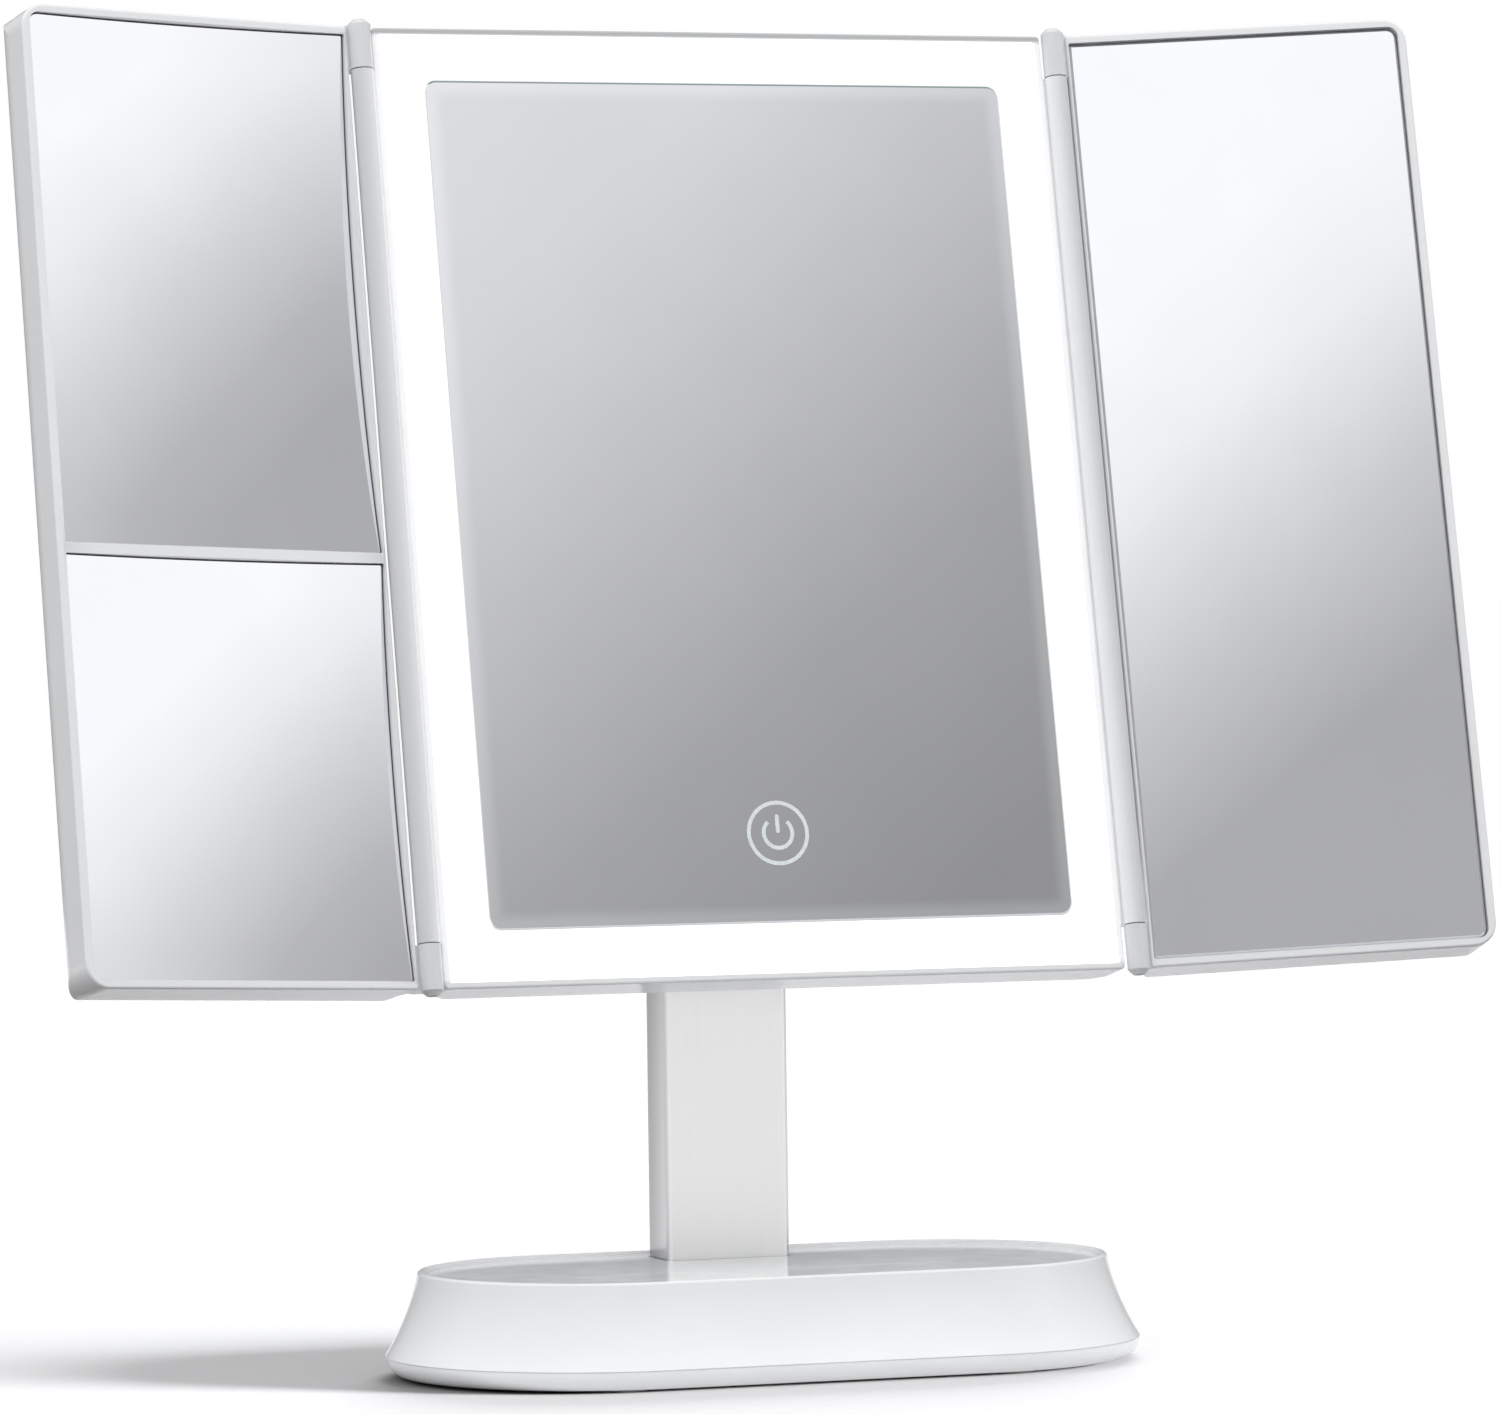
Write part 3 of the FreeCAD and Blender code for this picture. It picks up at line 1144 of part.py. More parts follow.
# Wings
for name, side in (("left", -1), ("right", 1)):
    turned = wing_placement(side)
    save(f"{name}_wing_frame", wing_frame(side), turned)
    save(f"{name}_wing_cover", wing_cover(side), turned)
    save(f"{name}_hinge_pins", hinge_pins(side), turned)
    mirrors = mirror_spans(side)
    labels = ("upper", "lower") if len(mirrors) > 1 else ("wing",)
    for label, span in zip(labels, mirrors):
        save(f"{name}_{label}_mirror", wing_mirror(side, *span), turned)
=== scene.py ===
import json
import math

import bmesh
import bpy
from mathutils import Matrix, Vector


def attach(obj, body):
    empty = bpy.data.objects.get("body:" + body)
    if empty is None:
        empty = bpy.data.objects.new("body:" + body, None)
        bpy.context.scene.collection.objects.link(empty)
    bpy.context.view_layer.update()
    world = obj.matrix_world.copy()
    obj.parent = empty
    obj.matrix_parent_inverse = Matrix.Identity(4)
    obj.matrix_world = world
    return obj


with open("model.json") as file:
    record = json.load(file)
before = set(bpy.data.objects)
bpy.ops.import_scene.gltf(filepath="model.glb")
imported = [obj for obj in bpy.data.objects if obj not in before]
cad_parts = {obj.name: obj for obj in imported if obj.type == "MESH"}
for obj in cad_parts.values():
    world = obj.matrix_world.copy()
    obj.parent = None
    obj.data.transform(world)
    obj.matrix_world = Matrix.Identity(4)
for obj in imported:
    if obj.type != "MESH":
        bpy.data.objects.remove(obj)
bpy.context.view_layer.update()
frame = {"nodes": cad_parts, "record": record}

# Sizes in metres and angles in degrees, the same as in the part
TILT_AXIS = Vector((0, 0.0392, 0.242))
TILT = 12.0
PANEL_TOP = 0.140
HINGE_X = 0.107
HINGE_Y = -0.0368
LEFT_FOLD = 11.0
RIGHT_FOLD = -13.0
WING_INNER = 0.1109
WING_OUTER = 0.2134
WING_FRONT = -0.0365
WING_LIP = 0.0024
WING_CORNER = 0.0070
MIRROR_RECESS = 0.0014
DIVIDER = -0.0163
DISHES = ((0.660, -0.0148, 0.1376), (0.620, -0.1376, -0.0178))   # radius, lower and upper limit
HOUSING_HALF = 0.1031
HOUSING_FRONT = -0.0363
GLASS_HALF = 0.0888
GLASS_LOW = -0.1236
GLASS_HIGH = 0.1246
BASE_HALF = 0.050
RIM_RADIUS = 0.0523
RIM_HEIGHT = 0.0303
RIM_WIDTH = 0.0020
SEAM_RADIUS = 0.0616
SEAM_HEIGHT = 0.0065
SEAM_GAP = 0.0003
POST_HALF = 0.0190
POST_Y = 0.0392
PLATE_BOTTOM = 0.0008
BASE_SCREWS = (0.0735, 0.0407)
BRACKET_SCREWS = (0.0275, 0.0150)
BRACKET_SCREW_TOP = -0.0127

# Trim and painted slot shade that only the scene has, in metres
RIM_BEAD = 0.00105           # radius of the bead on the tray's rim
RIM_BEAD_RISE = 0.00007      # how far it stands above the rim
SEAM_BEAD = 0.00025          # radius of the bead in the seam of the base
SEAM_BEAD_INSET = 0.00035    # how far it lies inside the seam's edge
SLOT_ARM = 0.0016            # from the middle of a screw to the end of its cross slot
SLOT_HALF = 0.0003           # half the width of a slot
SLOT_LIFT = 0.00003          # how far it stands above and below the screw's face
BEAD_TURNS = 48              # steps round each end of the base
BEAD_SIDES = 16              # steps round a bead

# Camera, fitted to the photograph
CAMERA_AIM = Vector((-0.00219, 0, 0.18994))
CAMERA_TURN = 19.622
CAMERA_RISE = 0.701
CAMERA_ROLL = -0.767
CAMERA_DISTANCE = 2.2246
CAMERA_LENS = 185.58
CAMERA_SENSOR = 36.0

# Room light, by turn to the right of the front and by rise
ROOM_TURN = -18.0
ROOM_LIGHT = 1.21
TOP_SHARE = 0.70                  # brightness overhead, as a share of the rest
TOP_RISES = (45.0, 80.0)
BACK_SHARE = 0.20                 # brightness behind the part, as glossy surfaces show it
BACK_SPAN = (-1.0, 0.6)           # where it falls to that, with -1 for the front and 1 for the back

# Grey cards that the right, centre and left mirrors show: how far the bands climb for each degree of turn,
# the turn that this counts from, and the rise and brightness of each band
CARD_RIGHT = (0.667, -2.0, ((21.8, 0.43), (23.2, 0.62), (24.8, 0.91), (26.0, 1.0)))
CARD_CENTRE = (0.6, 21.5, ((19.5, 0.30), (22.0, 0.39), (26.2, 0.71), (28.0, 0.75)))
CARD_LEFT = (0.48, 40.0, ((15.0, 1.0), (18.5, 0.89), (22.5, 0.69), (27.0, 0.50), (30.5, 0.434)))
LOW_CARD = (0.85, 0.85, 0.85)
TO_CENTRE_CARD = (4.0, 14.0)      # turns over which one card gives way to the next
TO_LEFT_CARD = (25.0, 30.0)
TO_LOW_CARD = (17.0, 9.0)         # rises over which they give way to the low card
CARD_END_TURNS = ((60.0, 75.0), (-20.0, -35.0))
CARD_END_RISES = (36.0, 44.0)

# Floor, and how much of its light it throws back, near the base and far from it
FLOOR_HALF = 3.0
FLOOR_STEPS = 8
FLOOR_COLOURS = ((0.118, 0.118, 0.12), (0.122, 0.122, 0.124))
FAR_BOUNCE = (0.009, 0.009, 0.009)
NEAR_BOUNCE = (0.12, 0.12, 0.12)
NEAR_FADE = (0.008, 0.040)        # from the foot of the base

# Lamps: turn from the front, rise, strength and softness; the last three light the floor only
OVER_LAMP = (-18.0, 72.0, 0.52, 30.0)
SIDE_LAMP = (54.0, 11.5, 66.0, 16.0)
BACK_LAMP = (150.0, 28.0, 13.5, 35.0)
HIGH_LAMP = (0.0, 85.0, 4.6, 140.0)

# Greys painted where the shape shades itself
LEFT_WING_SHADE = (0.20, 0.205, 0.21)
RIGHT_WING_SHADE = (0.70, 0.705, 0.71)
KNUCKLE_SHADE = (0.72, 0.73, 0.74)
BARREL_SHADE = (0.66, 0.67, 0.68)
TOP_EDGE_SHADE = (0.50, 0.51, 0.52)
POST_SIDE_SHADE = (0.42, 0.423, 0.427)

HEAD = Matrix.Translation(TILT_AXIS) @ Matrix.Rotation(math.radians(-TILT), 4, "X")


def wing_frame(side, fold):
    """Frame of a wing drawn flat open, carried to where it stands at rest."""
    hinge = Matrix.Translation((side * HINGE_X, HINGE_Y, 0))
    return HEAD @ hinge @ Matrix.Rotation(math.radians(fold), 4, "Z") @ hinge.inverted()


# Node helpers

def link(tree, source, target):
    """Joins a socket to an input, or sets the input to a plain number."""
    if isinstance(source, bpy.types.NodeSocket):
        tree.links.new(source, target)
    else:
        target.default_value = source


def calc(tree, operation, first, second=0.0, third=0.0):
    """One step of arithmetic on sockets or plain numbers."""
    node = tree.nodes.new("ShaderNodeMath")
    node.operation = operation
    for source, target in zip((first, second, third), node.inputs):
        link(tree, source, target)
    return node.outputs[0]


def ease(tree, value, start, end, low, high):
    """Goes smoothly from low to high while value goes from start to end."""
    node = tree.nodes.new("ShaderNodeMapRange")
    node.interpolation_type = "SMOOTHSTEP"
    for source, target in zip((value, start, end, low, high), node.inputs):
        link(tree, source, target)
    return node.outputs["Result"]


def tint(tree, factor, first, second):
    """Mixes two colours, each a socket or plain red, green and blue."""
    node = tree.nodes.new("ShaderNodeMix")
    node.data_type = "RGBA"
    link(tree, factor, node.inputs["Factor"])
    for source, name in ((first, "A"), (second, "B")):
        socket = next(s for s in node.inputs if s.name == name and s.type == "RGBA")
        link(tree, source if isinstance(source, bpy.types.NodeSocket) else (*source, 1), socket)
    return next(s for s in node.outputs if s.type == "RGBA")


def ramp(tree, value, stops):
    """Brightness that follows (value, brightness) stops in straight lines."""
    low, high = stops[0][0], stops[-1][0]
    place = calc(tree, "DIVIDE", calc(tree, "SUBTRACT", value, low), high - low)
    node = tree.nodes.new("ShaderNodeValToRGB")
    points = node.color_ramp.elements
    while len(points) < len(stops):
        points.new(0.5)
    for point, (at, bright) in zip(points, stops):
        point.position = (at - low) / (high - low)
        point.color = (bright, bright, bright, 1)
    link(tree, place, node.inputs["Fac"])
    return node.outputs["Color"]


def material(name):
    """A new material, with its node tree and its main shader."""
    made = bpy.data.materials.new(name)
    made.use_nodes = True
    return made, made.node_tree, made.node_tree.nodes["Principled BSDF"]


def grain(tree, size, stretch=(1, 1, 1), detail=3.0):
    """Noise fixed to the object, of that size in metres, drawn out along x, y or z."""
    place = tree.nodes.new("ShaderNodeTexCoord")
    shape = tree.nodes.new("ShaderNodeMapping")
    shape.inputs["Scale"].default_value = [1 / length for length in stretch]
    noise = tree.nodes.new("ShaderNodeTexNoise")
    noise.inputs["Scale"].default_value = 1 / size
    noise.inputs["Detail"].default_value = detail
    tree.links.new(place.outputs["Object"], shape.inputs["Vector"])
    tree.links.new(shape.outputs["Vector"], noise.inputs["Vector"])
    return noise.outputs["Fac"]


def spread(tree, noise, low=0, high=1):
    """Stretches noise, most of which lies between 0.3 and 0.7, from low to high."""
    return ease(tree, noise, 0.3, 0.7, low, high)


def bump(tree, shader, height, depth):
    """Raises the surface a little, by depth in metres where height goes from 0 to 1."""
    node = tree.nodes.new("ShaderNodeBump")
    node.inputs["Strength"].default_value = 1.0
    node.inputs["Distance"].default_value = depth
    tree.links.new(height, node.inputs["Height"])
    tree.links.new(node.outputs["Normal"], shader.inputs["Normal"])


def place_in(tree, matrix):
    """Where a point is in a frame that stands turned at rest."""
    place = tree.nodes.new("ShaderNodeTexCoord")
    turned = tree.nodes.new("ShaderNodeMapping")
    turned.vector_type = "TEXTURE"
    turned.inputs["Location"].default_value = matrix.to_translation()
    turned.inputs["Rotation"].default_value = matrix.to_euler("XYZ")
    tree.links.new(place.outputs["Object"], turned.inputs["Vector"])
    return turned.outputs["Vector"]


def past(tree, value, limit):
    """How far a value of either sign lies past a limit, or 0 within it."""
    return calc(tree, "MAXIMUM", calc(tree, "SUBTRACT", calc(tree, "ABSOLUTE", value), limit), 0)


def hypotenuse(tree, first, second):
    """Long side of a right triangle."""
    squares = calc(tree, "MULTIPLY_ADD", first, first, calc(tree, "MULTIPLY", second, second))
    return calc(tree, "SQRT", squares)


def split(tree, vector):
    """The x, y and z of a vector."""
    node = tree.nodes.new("ShaderNodeSeparateXYZ")
    tree.links.new(vector, node.inputs["Vector"])
    return node.outputs


def facing(tree, direction):
    """How far the surface faces a direction of the part at rest, from -1 to 1."""
    place = tree.nodes.new("ShaderNodeTexCoord")
    node = tree.nodes.new("ShaderNodeVectorMath")
    node.operation = "DOT_PRODUCT"
    tree.links.new(place.outputs["Normal"], node.inputs[0])
    node.inputs[1].default_value = direction
    return node.outputs["Value"]


def distance(tree, vector, centre):
    """How far a point is from a fixed one."""
    node = tree.nodes.new("ShaderNodeVectorMath")
    node.operation = "DISTANCE"
    tree.links.new(vector, node.inputs[0])
    node.inputs[1].default_value = centre
    return node.outputs["Value"]


def overpaint(tree, shader, cover, colour):
    """Lays a colour over the base colour where cover is 1."""
    under = shader.inputs["Base Color"].links[0].from_socket
    tree.links.new(tint(tree, cover, under, colour), shader.inputs["Base Color"])


def paint(obj, finish):
    """Gives an object one material."""
    obj.data.materials.clear()
    obj.data.materials.append(finish)


# Materials

def moulded(name, pale, dark, rough, texture):
    """Moulded plastic: slow flow marks in colour and gloss, and a fine skin."""
    made, tree, shader = material(name)
    flow = spread(tree, grain(tree, 0.030))
    tree.links.new(tint(tree, flow, dark, pale), shader.inputs["Base Color"])
    gloss = spread(tree, grain(tree, 0.012, detail=5), rough[0], rough[1])
    tree.links.new(gloss, shader.inputs["Roughness"])
    bump(tree, shader, grain(tree, texture[0], detail=2), texture[1])
    return made, tree, shader


def gloss_white(name):
    """The glossy white plastic of the panels and the base."""
    return moulded(name, (0.865, 0.875, 0.89), (0.845, 0.855, 0.872), (0.10, 0.16), (0.0011, 0.000004))


def above_dishes(tree, place, z):
    """How far a point of the left wing stands in front of the dished mirror beside it."""
    blend = 0.0001
    heights = []
    for radius, low, high in DISHES:
        half_x = (WING_OUTER - WING_INNER) / 2 - WING_LIP
        half_z = (high - low) / 2
        sag = radius - math.sqrt(radius ** 2 - half_x ** 2 - half_z ** 2)
        centre = (-(WING_INNER + WING_OUTER) / 2, WING_FRONT + MIRROR_RECESS + sag - radius, (low + high) / 2)
        heights.append(calc(tree, "SUBTRACT", radius, distance(tree, place, centre)))
    return ease(tree, z, DIVIDER - blend, DIVIDER + blend, heights[1], heights[0])


def wing_white(name, side, fold, shade_colour):
    """Gloss white, with painted shade: a dark line round the mirrors, shade on the walls beside them, and on
    the knuckles.
    """
    wall_margin = 0.0006           # into the lip, so that its wall lies inside
    knuckle_margin = 0.0003        # between the knuckles and the inside
    wall_shade = 0.0022            # how far up the walls the shade reaches
    shade_line = (0.0001, 0.0005)    # above the glass, where the dark line fades
    down_fade = (-0.5, 0.8)        # from walls that face up to walls that face down
    up_share = 0.2                 # shade of a wall that faces up, as a share of one that faces down
    made, tree, shader = gloss_white(name)
    place = place_in(tree, wing_frame(side, fold))
    x, y, z = split(tree, place)
    across = calc(tree, "ABSOLUTE", x)
    reach = hypotenuse(tree, past(tree, x, WING_OUTER - WING_CORNER), past(tree, z, PANEL_TOP - WING_CORNER))
    inside = calc(tree, "LESS_THAN", reach, WING_CORNER - WING_LIP + wall_margin)
    inside = calc(tree, "MULTIPLY", inside, calc(tree, "GREATER_THAN", across, WING_INNER + knuckle_margin))
    if side < 0:
        above = above_dishes(tree, place, z)
    else:
        above = calc(tree, "SUBTRACT", WING_FRONT + MIRROR_RECESS, y)
    # Painted shade: a dark line round the glass, and shade up the walls beside it, darker on walls that face
    # down
    down = wing_frame(side, fold).to_3x3() @ Vector((0, 0, -1))
    under = ease(tree, facing(tree, down), *down_fade, up_share, 1)
    shade = calc(tree, "MULTIPLY", ease(tree, above, 0, wall_shade, 1, 0), under)
    line_and_wall_shade = calc(tree, "MAXIMUM", shade, ease(tree, above, *shade_line, 1, 0))
    overpaint(tree, shader, calc(tree, "MULTIPLY", inside, line_and_wall_shade), shade_colour)
    # Painted shade: the knuckles are made greyer than the rest of the frame
    overpaint(tree, shader, calc(tree, "LESS_THAN", across, WING_INNER), KNUCKLE_SHADE)
    return made


def housing_white(name):
    """Gloss white, with a painted glow beside the lit border, and painted shade along the top edge and on the
    outer side of the barrels.
    """
    front_fade = (HOUSING_FRONT + 0.002, HOUSING_FRONT + 0.005)
    strip_fade = (HOUSING_HALF - 0.0002, HOUSING_HALF + 0.0004)
    end_fade = (PANEL_TOP - 0.0030, PANEL_TOP - 0.0015)
    top_fade = (PANEL_TOP - 0.0022, PANEL_TOP - 0.0012)
    barrel_fade = (HINGE_X - 0.0028, HINGE_X + 0.0020)
    made, tree, shader = gloss_white(name)
    x, y, z = split(tree, place_in(tree, HEAD))
    across = calc(tree, "ABSOLUTE", x)
    # Painted glow: beside the lit border the housing gives off a little light of its own
    front = ease(tree, y, *front_fade, 1, 0)
    strip = ease(tree, across, *strip_fade, 1, 0)
    along = ease(tree, calc(tree, "ABSOLUTE", z), *end_fade, 1, 0)
    spill = calc(tree, "MULTIPLY", front, calc(tree, "MULTIPLY", strip, along))
    tree.links.new(tint(tree, spill, (0, 0, 0), (1, 1, 1)), shader.inputs["Emission Color"])
    shader.inputs["Emission Strength"].default_value = 0.2
    # Painted shade on the outer side of the barrels and along the top edge
    overpaint(tree, shader, ease(tree, across, *barrel_fade, 0, 1), BARREL_SHADE)
    top_edge_shade = calc(tree, "MULTIPLY", front, ease(tree, z, *top_fade, 0, 1))
    overpaint(tree, shader, top_edge_shade, TOP_EDGE_SHADE)
    return made


def plated(name, colour, rough, brush, depth):
    """Metal with fine scratches drawn out along one axis."""
    made, tree, shader = material(name)
    streak = grain(tree, 0.0004, stretch=brush, detail=4)
    dull = [0.97 * part for part in colour]
    tree.links.new(tint(tree, spread(tree, streak), dull, colour), shader.inputs["Base Color"])
    tree.links.new(spread(tree, streak, rough[0], rough[1]), shader.inputs["Roughness"])
    shader.inputs["Metallic"].default_value = 1
    bump(tree, shader, streak, depth)
    return made


def post_steel(name):
    """Satin steel brushed along the tube, with painted shade on its narrow sides, darker towards the back."""
    side_fade = (POST_HALF - 0.0010, POST_HALF - 0.0004)
    depth_fade = (POST_Y - 0.012, POST_Y + 0.008)
    made, tree, shader = material(name)
    place = tree.nodes.new("ShaderNodeTexCoord")
    x, y, _ = split(tree, place.outputs["Object"])
    streak = spread(tree, grain(tree, 0.0003, stretch=(1, 1, 150), detail=4))
    tone = tint(tree, streak, (0.80, 0.80, 0.80), (0.82, 0.82, 0.82))
    tree.links.new(tone, shader.inputs["Base Color"])
    tree.links.new(ease(tree, streak, 0, 1, 0.28, 0.33), shader.inputs["Roughness"])
    shader.inputs["Metallic"].default_value = 1
    # Painted shade on the narrow sides, darker towards the back
    on_side = ease(tree, calc(tree, "ABSOLUTE", x), *side_fade, 0, 1)
    shade = calc(tree, "MULTIPLY", on_side, ease(tree, y, *depth_fade, 0.3, 1))
    overpaint(tree, shader, shade, POST_SIDE_SHADE)
    return made


def silvered(name):
    """Silvered glass with a trace of haze."""
    made, tree, shader = material(name)
    haze = grain(tree, 0.040, detail=4)
    pale = spread(tree, haze)
    tree.links.new(tint(tree, pale, (0.935, 0.942, 0.980), (0.955, 0.962, 1.0)), shader.inputs["Base Color"])
    tree.links.new(spread(tree, haze, 0.0, 0.02), shader.inputs["Roughness"])
    shader.inputs["Metallic"].default_value = 1
    return made, tree, shader


def lit_mirror(name):
    """The centre glass, with a painted glow along its edge and painted reflections on its bevels, darkest
    along the top.
    """
    corner_blend = 0.004
    glow_fade = (0.0015, 0.0060)    # from the edge of the glass
    bevel_fade = (0.3, 0.6)         # how far a face must face a side to be its bevel
    right = Vector((1, 0, 0))
    up = HEAD.to_3x3() @ Vector((0, 0, 1))
    bevel_reflections = (
        (right, (0.52, 0.55, 0.55)),
        (up, (0.19, 0.24, 0.24)),
        (-right, (0.72, 0.73, 0.74)),
        (-up, (0.40, 0.41, 0.42)),
    )
    made, tree, shader = silvered(name)
    x, _, z = split(tree, place_in(tree, HEAD))
    side = calc(tree, "SUBTRACT", GLASS_HALF, calc(tree, "ABSOLUTE", x))
    ends = calc(tree, "MINIMUM", calc(tree, "SUBTRACT", GLASS_HIGH, z), calc(tree, "SUBTRACT", z, GLASS_LOW))
    # Painted glow along the edge of the glass
    glow = ease(tree, calc(tree, "SMOOTH_MIN", side, ends, corner_blend), *glow_fade, 1, 0)
    tree.links.new(tint(tree, glow, (0, 0, 0), (0.98, 1.0, 1.0)), shader.inputs["Emission Color"])
    shader.inputs["Emission Strength"].default_value = 0.08
    # Painted reflections on the bevels, by which way each faces
    for direction, colour in bevel_reflections:
        overpaint(tree, shader, ease(tree, facing(tree, direction), *bevel_fade, 0, 1), colour)
    return made


def opal(name):
    """Opal acrylic with the lamps behind it just showing as a slow ripple."""
    made, tree, shader = material(name)
    cloud = spread(tree, grain(tree, 0.018))
    tree.links.new(tint(tree, cloud, (0.92, 0.93, 0.93), (0.96, 0.96, 0.96)), shader.inputs["Base Color"])
    tree.links.new(tint(tree, cloud, (0.96, 0.98, 1.0), (1, 1, 1)), shader.inputs["Emission Color"])
    shader.inputs["Emission Strength"].default_value = 0.7
    tree.links.new(spread(tree, grain(tree, 0.006), 0.25, 0.35), shader.inputs["Roughness"])
    return made


def frosted(name):
    """Pale frosted line of the touch symbol."""
    made, tree, shader = material(name)
    cloud = spread(tree, grain(tree, 0.002))
    tree.links.new(tint(tree, cloud, (0.76, 0.82, 0.82), (0.84, 0.89, 0.89)), shader.inputs["Base Color"])
    tree.links.new(spread(tree, grain(tree, 0.001), 0.4, 0.6), shader.inputs["Roughness"])
    return made


def rubber(name, pale, dark):
    """Soft rubber or foam with a grainy skin."""
    made, tree, shader = material(name)
    patch = spread(tree, grain(tree, 0.003, detail=4))
    tree.links.new(tint(tree, patch, dark, pale), shader.inputs["Base Color"])
    tree.links.new(spread(tree, grain(tree, 0.001), 0.55, 0.75), shader.inputs["Roughness"])
    bump(tree, shader, grain(tree, 0.0006), 0.0001)
    return made


def iron(name):
    """Bare cast iron."""
    made, tree, shader = material(name)
    cast = grain(tree, 0.002, detail=6)
    patch = ease(tree, cast, 0.35, 0.65, 0, 1)
    tree.links.new(tint(tree, patch, (0.09, 0.085, 0.08), (0.16, 0.16, 0.165)), shader.inputs["Base Color"])
    tree.links.new(spread(tree, cast, 0.5, 0.8), shader.inputs["Roughness"])
    shader.inputs["Metallic"].default_value = 0.8
    bump(tree, shader, cast, 0.0004)
    return made


# Plain plastics: pale and dark colour, roughness range, and size and depth of the skin
PLASTICS = {
    "white_matte": ((0.80, 0.80, 0.79), (0.76, 0.76, 0.75), (0.45, 0.6), (0.0006, 0.00006)),
    "cell_wrap": ((0.10, 0.115, 0.13), (0.06, 0.07, 0.08), (0.3, 0.4), (0.002, 0.00003)),
    "nylon": ((0.80, 0.79, 0.74), (0.74, 0.73, 0.68), (0.4, 0.55), (0.0006, 0.00004)),
    "circuit_board": ((0.03, 0.22, 0.09), (0.02, 0.16, 0.06), (0.3, 0.45), (0.0008, 0.00004)),
    "led_board": ((0.90, 0.90, 0.90), (0.84, 0.84, 0.84), (0.35, 0.5), (0.0008, 0.00003)),
    "led_lens": ((0.95, 0.80, 0.30), (0.88, 0.70, 0.22), (0.2, 0.3), (0.0005, 0.00003)),
}
FINISHES = {
    "white_gloss": gloss_white("white_gloss")[0],
    "opal_diffuser": opal("opal_diffuser"),
    "mirror_glass": silvered("mirror_glass")[0],
    "icon_frost": frosted("icon_frost"),
    "brushed_post": post_steel("brushed_post"),
    "bracket_steel": plated("bracket_steel", (0.62, 0.62, 0.61), (0.3, 0.45), (60, 1, 1), 0.00002),
    "screw_steel": plated("screw_steel", (0.68, 0.68, 0.68), (0.18, 0.3), (1, 8, 8), 0.00001),
    "ballast_iron": iron("ballast_iron"),
    "clear_rubber": rubber("clear_rubber", (0.58, 0.58, 0.58), (0.48, 0.48, 0.48)),
    "conductive_foam": rubber("conductive_foam", (0.05, 0.05, 0.05), (0.02, 0.02, 0.02)),
}
for slot, look in PLASTICS.items():
    FINISHES[slot] = moulded(slot, *look)[0]

for subpart in frame["record"]["subparts"]:
    paint(frame["nodes"][subpart["node"]], FINISHES[subpart["material_slot"]])
paint(frame["nodes"]["main_mirror"], lit_mirror("lit_mirror"))
paint(frame["nodes"]["centre_housing"], housing_white("housing_white"))
paint(frame["nodes"]["left_wing_frame"], wing_white("left_wing_white", -1, LEFT_FOLD, LEFT_WING_SHADE))
paint(frame["nodes"]["right_wing_frame"], wing_white("right_wing_white", 1, RIGHT_FOLD, RIGHT_WING_SHADE))


# Pieces

def piece(name, points, faces, body, finish):
    """A new piece of the scene that moves with one body of the part."""
    mesh = bpy.data.meshes.new(name)
    mesh.from_pydata(points, [], faces)
    made = bpy.data.objects.new(name, mesh)
    bpy.context.scene.collection.objects.link(made)
    paint(made, finish)
    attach(made, body)
    return made


def bead_loop(name, reach, height, bead):
    """Round bead that runs along the base's outline, at that reach from its two end centres."""
    points = []
    for side in (1, -1):
        for i in range(BEAD_TURNS + 1):
            angle = math.pi * (i / BEAD_TURNS - 0.5 * side)
            for j in range(BEAD_SIDES):
                swing = 2 * math.pi * j / BEAD_SIDES
                out = reach + bead * math.cos(swing)
                points.append((side * BASE_HALF + out * math.cos(angle), out * math.sin(angle),
                               height + bead * math.sin(swing)))
    rows = len(points) // BEAD_SIDES
    faces = []
    for i in range(rows):
        here = i * BEAD_SIDES
        there = (i + 1) % rows * BEAD_SIDES
        for j in range(BEAD_SIDES):
            following = (j + 1) % BEAD_SIDES
            faces.append((here + j, there + j, there + following, here + following))
    made = piece(name, points, faces, "stand", gloss_white(name + "_white")[0])
    made.data.shade_smooth()
    return made


def slot_shade_crosses(name, body, places, frame_matrix):
    """Dark crosses of painted shade in the screw heads' slots; each sits on the plane z = 0 of its place and
    faces up it.
    """
    quarter = [(SLOT_HALF, SLOT_HALF), (SLOT_HALF, SLOT_ARM), (-SLOT_HALF, SLOT_ARM)]
    turns = ((1, 0), (0, 1), (-1, 0), (0, -1))
    plan = [(x * cos - y * sin, x * sin + y * cos) for cos, sin in turns for x, y in quarter]
    count = len(plan)
    points = []
    faces = []
    for place in places:
        first = len(points)
        for z in (-SLOT_LIFT, SLOT_LIFT):
            points += [frame_matrix @ place @ Vector((x, y, z)) for x, y in plan]
        faces.append([first + count + i for i in range(count)])
        faces.append([first + i for i in reversed(range(count))])
        for i in range(count):
            following = (i + 1) % count
            faces.append((first + i, first + following, first + count + following, first + count + i))
    # The black of the foam finish stands in for the shade in the slots
    piece(name, points, faces, body, FINISHES["conductive_foam"])


def corners(half):
    """The four corners of a rectangle, from its two half lengths."""
    return [(side * half[0], end * half[1]) for side in (1, -1) for end in (1, -1)]


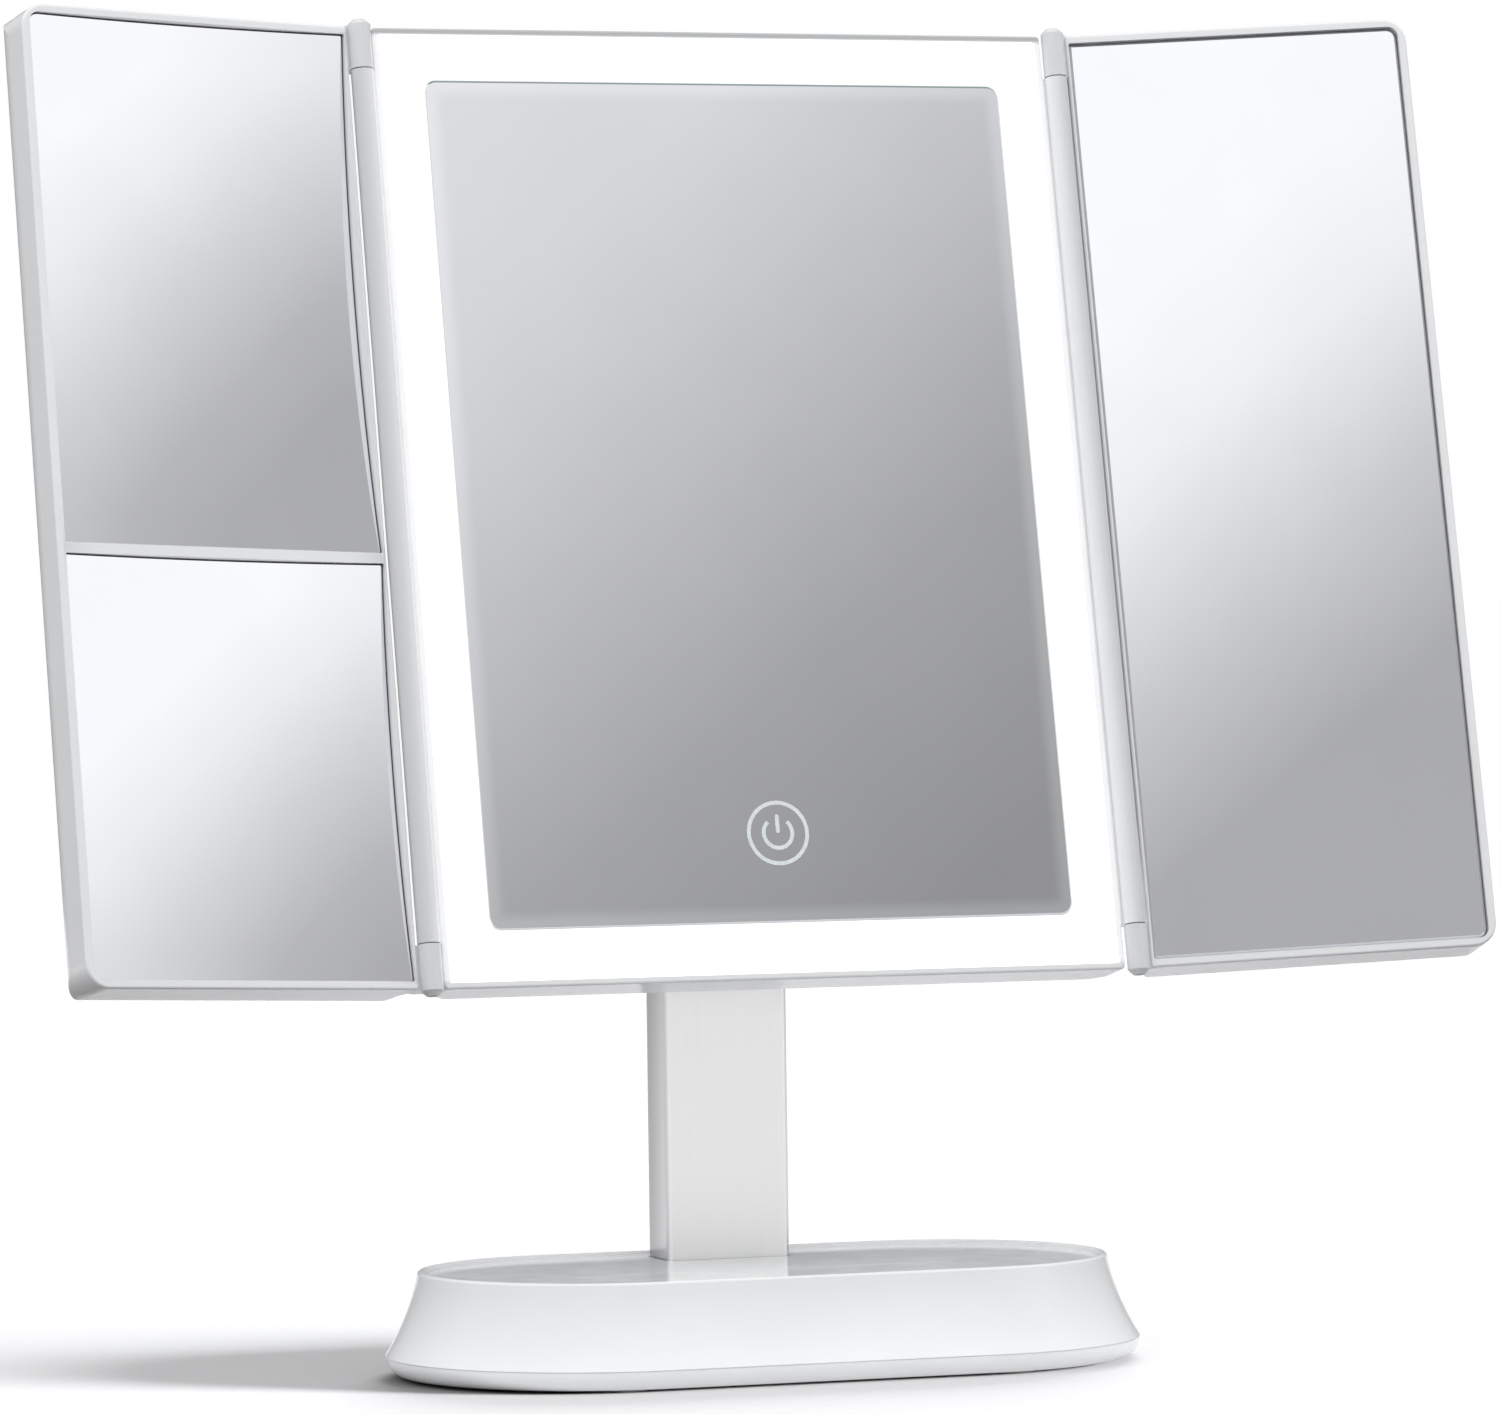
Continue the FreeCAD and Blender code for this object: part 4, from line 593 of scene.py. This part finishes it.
rim_bead = bead_loop("rim_bead", RIM_RADIUS - RIM_WIDTH / 2, RIM_HEIGHT - RIM_BEAD + RIM_BEAD_RISE, RIM_BEAD)
bead_loop("seam_bead", SEAM_RADIUS - SEAM_BEAD - SEAM_BEAD_INSET, SEAM_HEIGHT - SEAM_GAP / 2, SEAM_BEAD)
facing_down = Matrix.Rotation(math.pi, 4, "X")
facing_back = Matrix.Rotation(-math.pi / 2, 4, "X")
slot_shade_crosses("base_screw_slot_shade", "stand",
            [Matrix.Translation((x, y, PLATE_BOTTOM)) @ facing_down for x, y in corners(BASE_SCREWS)],
            Matrix.Identity(4))
slot_shade_crosses("bracket_screw_slot_shade", "head",
            [Matrix.Translation((x, BRACKET_SCREW_TOP, z)) @ facing_back for x, z in corners(BRACKET_SCREWS)],
            HEAD)


# Stage

def stage_floor():
    """A wide pale sheet under the part, clear when looked at from below."""
    grid = bmesh.new()
    bmesh.ops.create_grid(grid, x_segments=FLOOR_STEPS, y_segments=FLOOR_STEPS, size=FLOOR_HALF)
    mesh = bpy.data.meshes.new("floor")
    grid.to_mesh(mesh)
    grid.free()
    floor = bpy.data.objects.new("floor", mesh)
    bpy.context.scene.collection.objects.link(floor)
    made, tree, shader = material("floor_paper")
    fibre = spread(tree, grain(tree, 0.004, detail=4))
    rays = tree.nodes.new("ShaderNodeLightPath")
    seen = calc(tree, "MAXIMUM", rays.outputs["Is Camera Ray"], rays.outputs["Is Glossy Ray"])
    seen = calc(tree, "MAXIMUM", seen, rays.outputs["Is Transmission Ray"])
    pale = tint(tree, fibre, *FLOOR_COLOURS)

    # Light thrown back is weaker than what is seen, so that the floor's lamps do not brighten the part
    place = tree.nodes.new("ShaderNodeTexCoord")
    x, y, _ = split(tree, place.outputs["Object"])
    outside = calc(tree, "SUBTRACT", hypotenuse(tree, past(tree, x, BASE_HALF), y), SEAM_RADIUS)
    thrown = tint(tree, ease(tree, outside, *NEAR_FADE, 1, 0), FAR_BOUNCE, NEAR_BOUNCE)
    tree.links.new(tint(tree, seen, thrown, pale), shader.inputs["Base Color"])
    shader.inputs["Roughness"].default_value = 0.9
    shader.inputs["Specular IOR Level"].default_value = 0
    sides = tree.nodes.new("ShaderNodeNewGeometry")
    tree.links.new(calc(tree, "SUBTRACT", 1, sides.outputs["Backfacing"]), shader.inputs["Alpha"])
    paint(floor, made)
    return floor


def studio_world():
    """White to the camera, an even room to matt surfaces, and grey cards to mirrors."""
    world = bpy.data.worlds.new("studio")
    bpy.context.scene.world = world
    world.use_nodes = True
    tree = world.node_tree
    direction = tree.nodes.new("ShaderNodeTexCoord")
    x, y, z = split(tree, direction.outputs["Generated"])
    turn = calc(tree, "DEGREES", calc(tree, "ARCTAN2", x, calc(tree, "MULTIPLY", y, -1)))
    rise = calc(tree, "DEGREES", calc(tree, "ARCSINE", z))

    behind = calc(tree, "MULTIPLY", y, math.cos(math.radians(ROOM_TURN)))
    behind = calc(tree, "MULTIPLY_ADD", x, -math.sin(math.radians(ROOM_TURN)), behind)
    above = ease(tree, rise, *TOP_RISES, 1, TOP_SHARE)
    room = calc(tree, "MULTIPLY", above, ROOM_LIGHT)
    shown = calc(tree, "MULTIPLY", above, ease(tree, behind, *BACK_SPAN, 1, BACK_SHARE))

    def card_bands(lean, middle, stops):
        """Brightness of a card whose bands climb by lean for each degree of turn from middle."""
        climb = calc(tree, "MULTIPLY", calc(tree, "SUBTRACT", turn, middle), lean)
        return ramp(tree, calc(tree, "SUBTRACT", rise, climb), stops)

    to_centre = ease(tree, turn, *TO_CENTRE_CARD, 0, 1)
    card = tint(tree, to_centre, card_bands(*CARD_RIGHT), card_bands(*CARD_CENTRE))
    card = tint(tree, ease(tree, rise, *TO_LOW_CARD, 0, 1), card, LOW_CARD)
    card = tint(tree, ease(tree, turn, *TO_LEFT_CARD, 0, 1), card, card_bands(*CARD_LEFT))
    beyond = ease(tree, rise, *CARD_END_RISES, 0, 1)
    for turns in CARD_END_TURNS:
        beyond = calc(tree, "MAXIMUM", beyond, ease(tree, turn, *turns, 0, 1))
    card = tint(tree, beyond, card, shown)

    rays = tree.nodes.new("ShaderNodeLightPath")
    mirrored = calc(tree, "MAXIMUM", rays.outputs["Is Glossy Ray"], rays.outputs["Is Transmission Ray"])
    seen = tint(tree, mirrored, room, card)
    seen = tint(tree, rays.outputs["Is Camera Ray"], seen, (1, 1, 1))
    tree.links.new(seen, tree.nodes["Background"].inputs["Color"])


def sun(name, turn, rise, strength, softness):
    """A soft lamp far off in that direction, not seen in glossy surfaces."""
    lamp = bpy.data.lights.new(name, "SUN")
    lamp.energy = strength
    lamp.angle = math.radians(softness)
    made = bpy.data.objects.new(name, lamp)
    bpy.context.scene.collection.objects.link(made)
    made.rotation_euler = (math.radians(90 - rise), 0, math.radians(turn))
    made.visible_glossy = False
    return made.light_linking


def group(name, members, state="INCLUDE"):
    """Objects that a lamp reaches or is stopped by, or with EXCLUDE those it passes over."""
    made = bpy.data.collections.new(name)
    for member in members:
        made.objects.link(member)
    for entry in made.collection_objects:
        entry.light_linking.link_state = state
    return made


def camera():
    """The photograph's camera."""
    lens = bpy.data.cameras.new("camera")
    lens.sensor_fit = "HORIZONTAL"
    lens.sensor_width = CAMERA_SENSOR
    lens.lens = CAMERA_LENS
    made = bpy.data.objects.new("camera", lens)
    bpy.context.scene.collection.objects.link(made)
    turn = Matrix.Rotation(math.radians(-CAMERA_TURN), 4, "Z")
    rise = Matrix.Rotation(math.radians(90 - CAMERA_RISE), 4, "X")
    roll = Matrix.Rotation(math.radians(CAMERA_ROLL), 4, "Z")
    back_off = Matrix.Translation((0, 0, CAMERA_DISTANCE))
    made.matrix_world = Matrix.Translation(CAMERA_AIM) @ turn @ rise @ roll @ back_off
    bpy.context.scene.camera = made


floor = stage_floor()
studio_world()
camera()
all_but_floor = group("all_but_floor", [floor], "EXCLUDE")
sun("over_lamp", *OVER_LAMP).receiver_collection = all_but_floor
only_floor = group("only_floor", [floor])
only_base = group("only_base", [rim_bead, frame["nodes"]["base_shell"], frame["nodes"]["base_plate"]])
for name, setting in (("side_lamp", SIDE_LAMP), ("back_lamp", BACK_LAMP), ("high_lamp", HIGH_LAMP)):
    linking = sun(name, *setting)
    linking.receiver_collection = only_floor
    linking.blocker_collection = only_base

bpy.context.scene.view_settings.view_transform = "Standard"
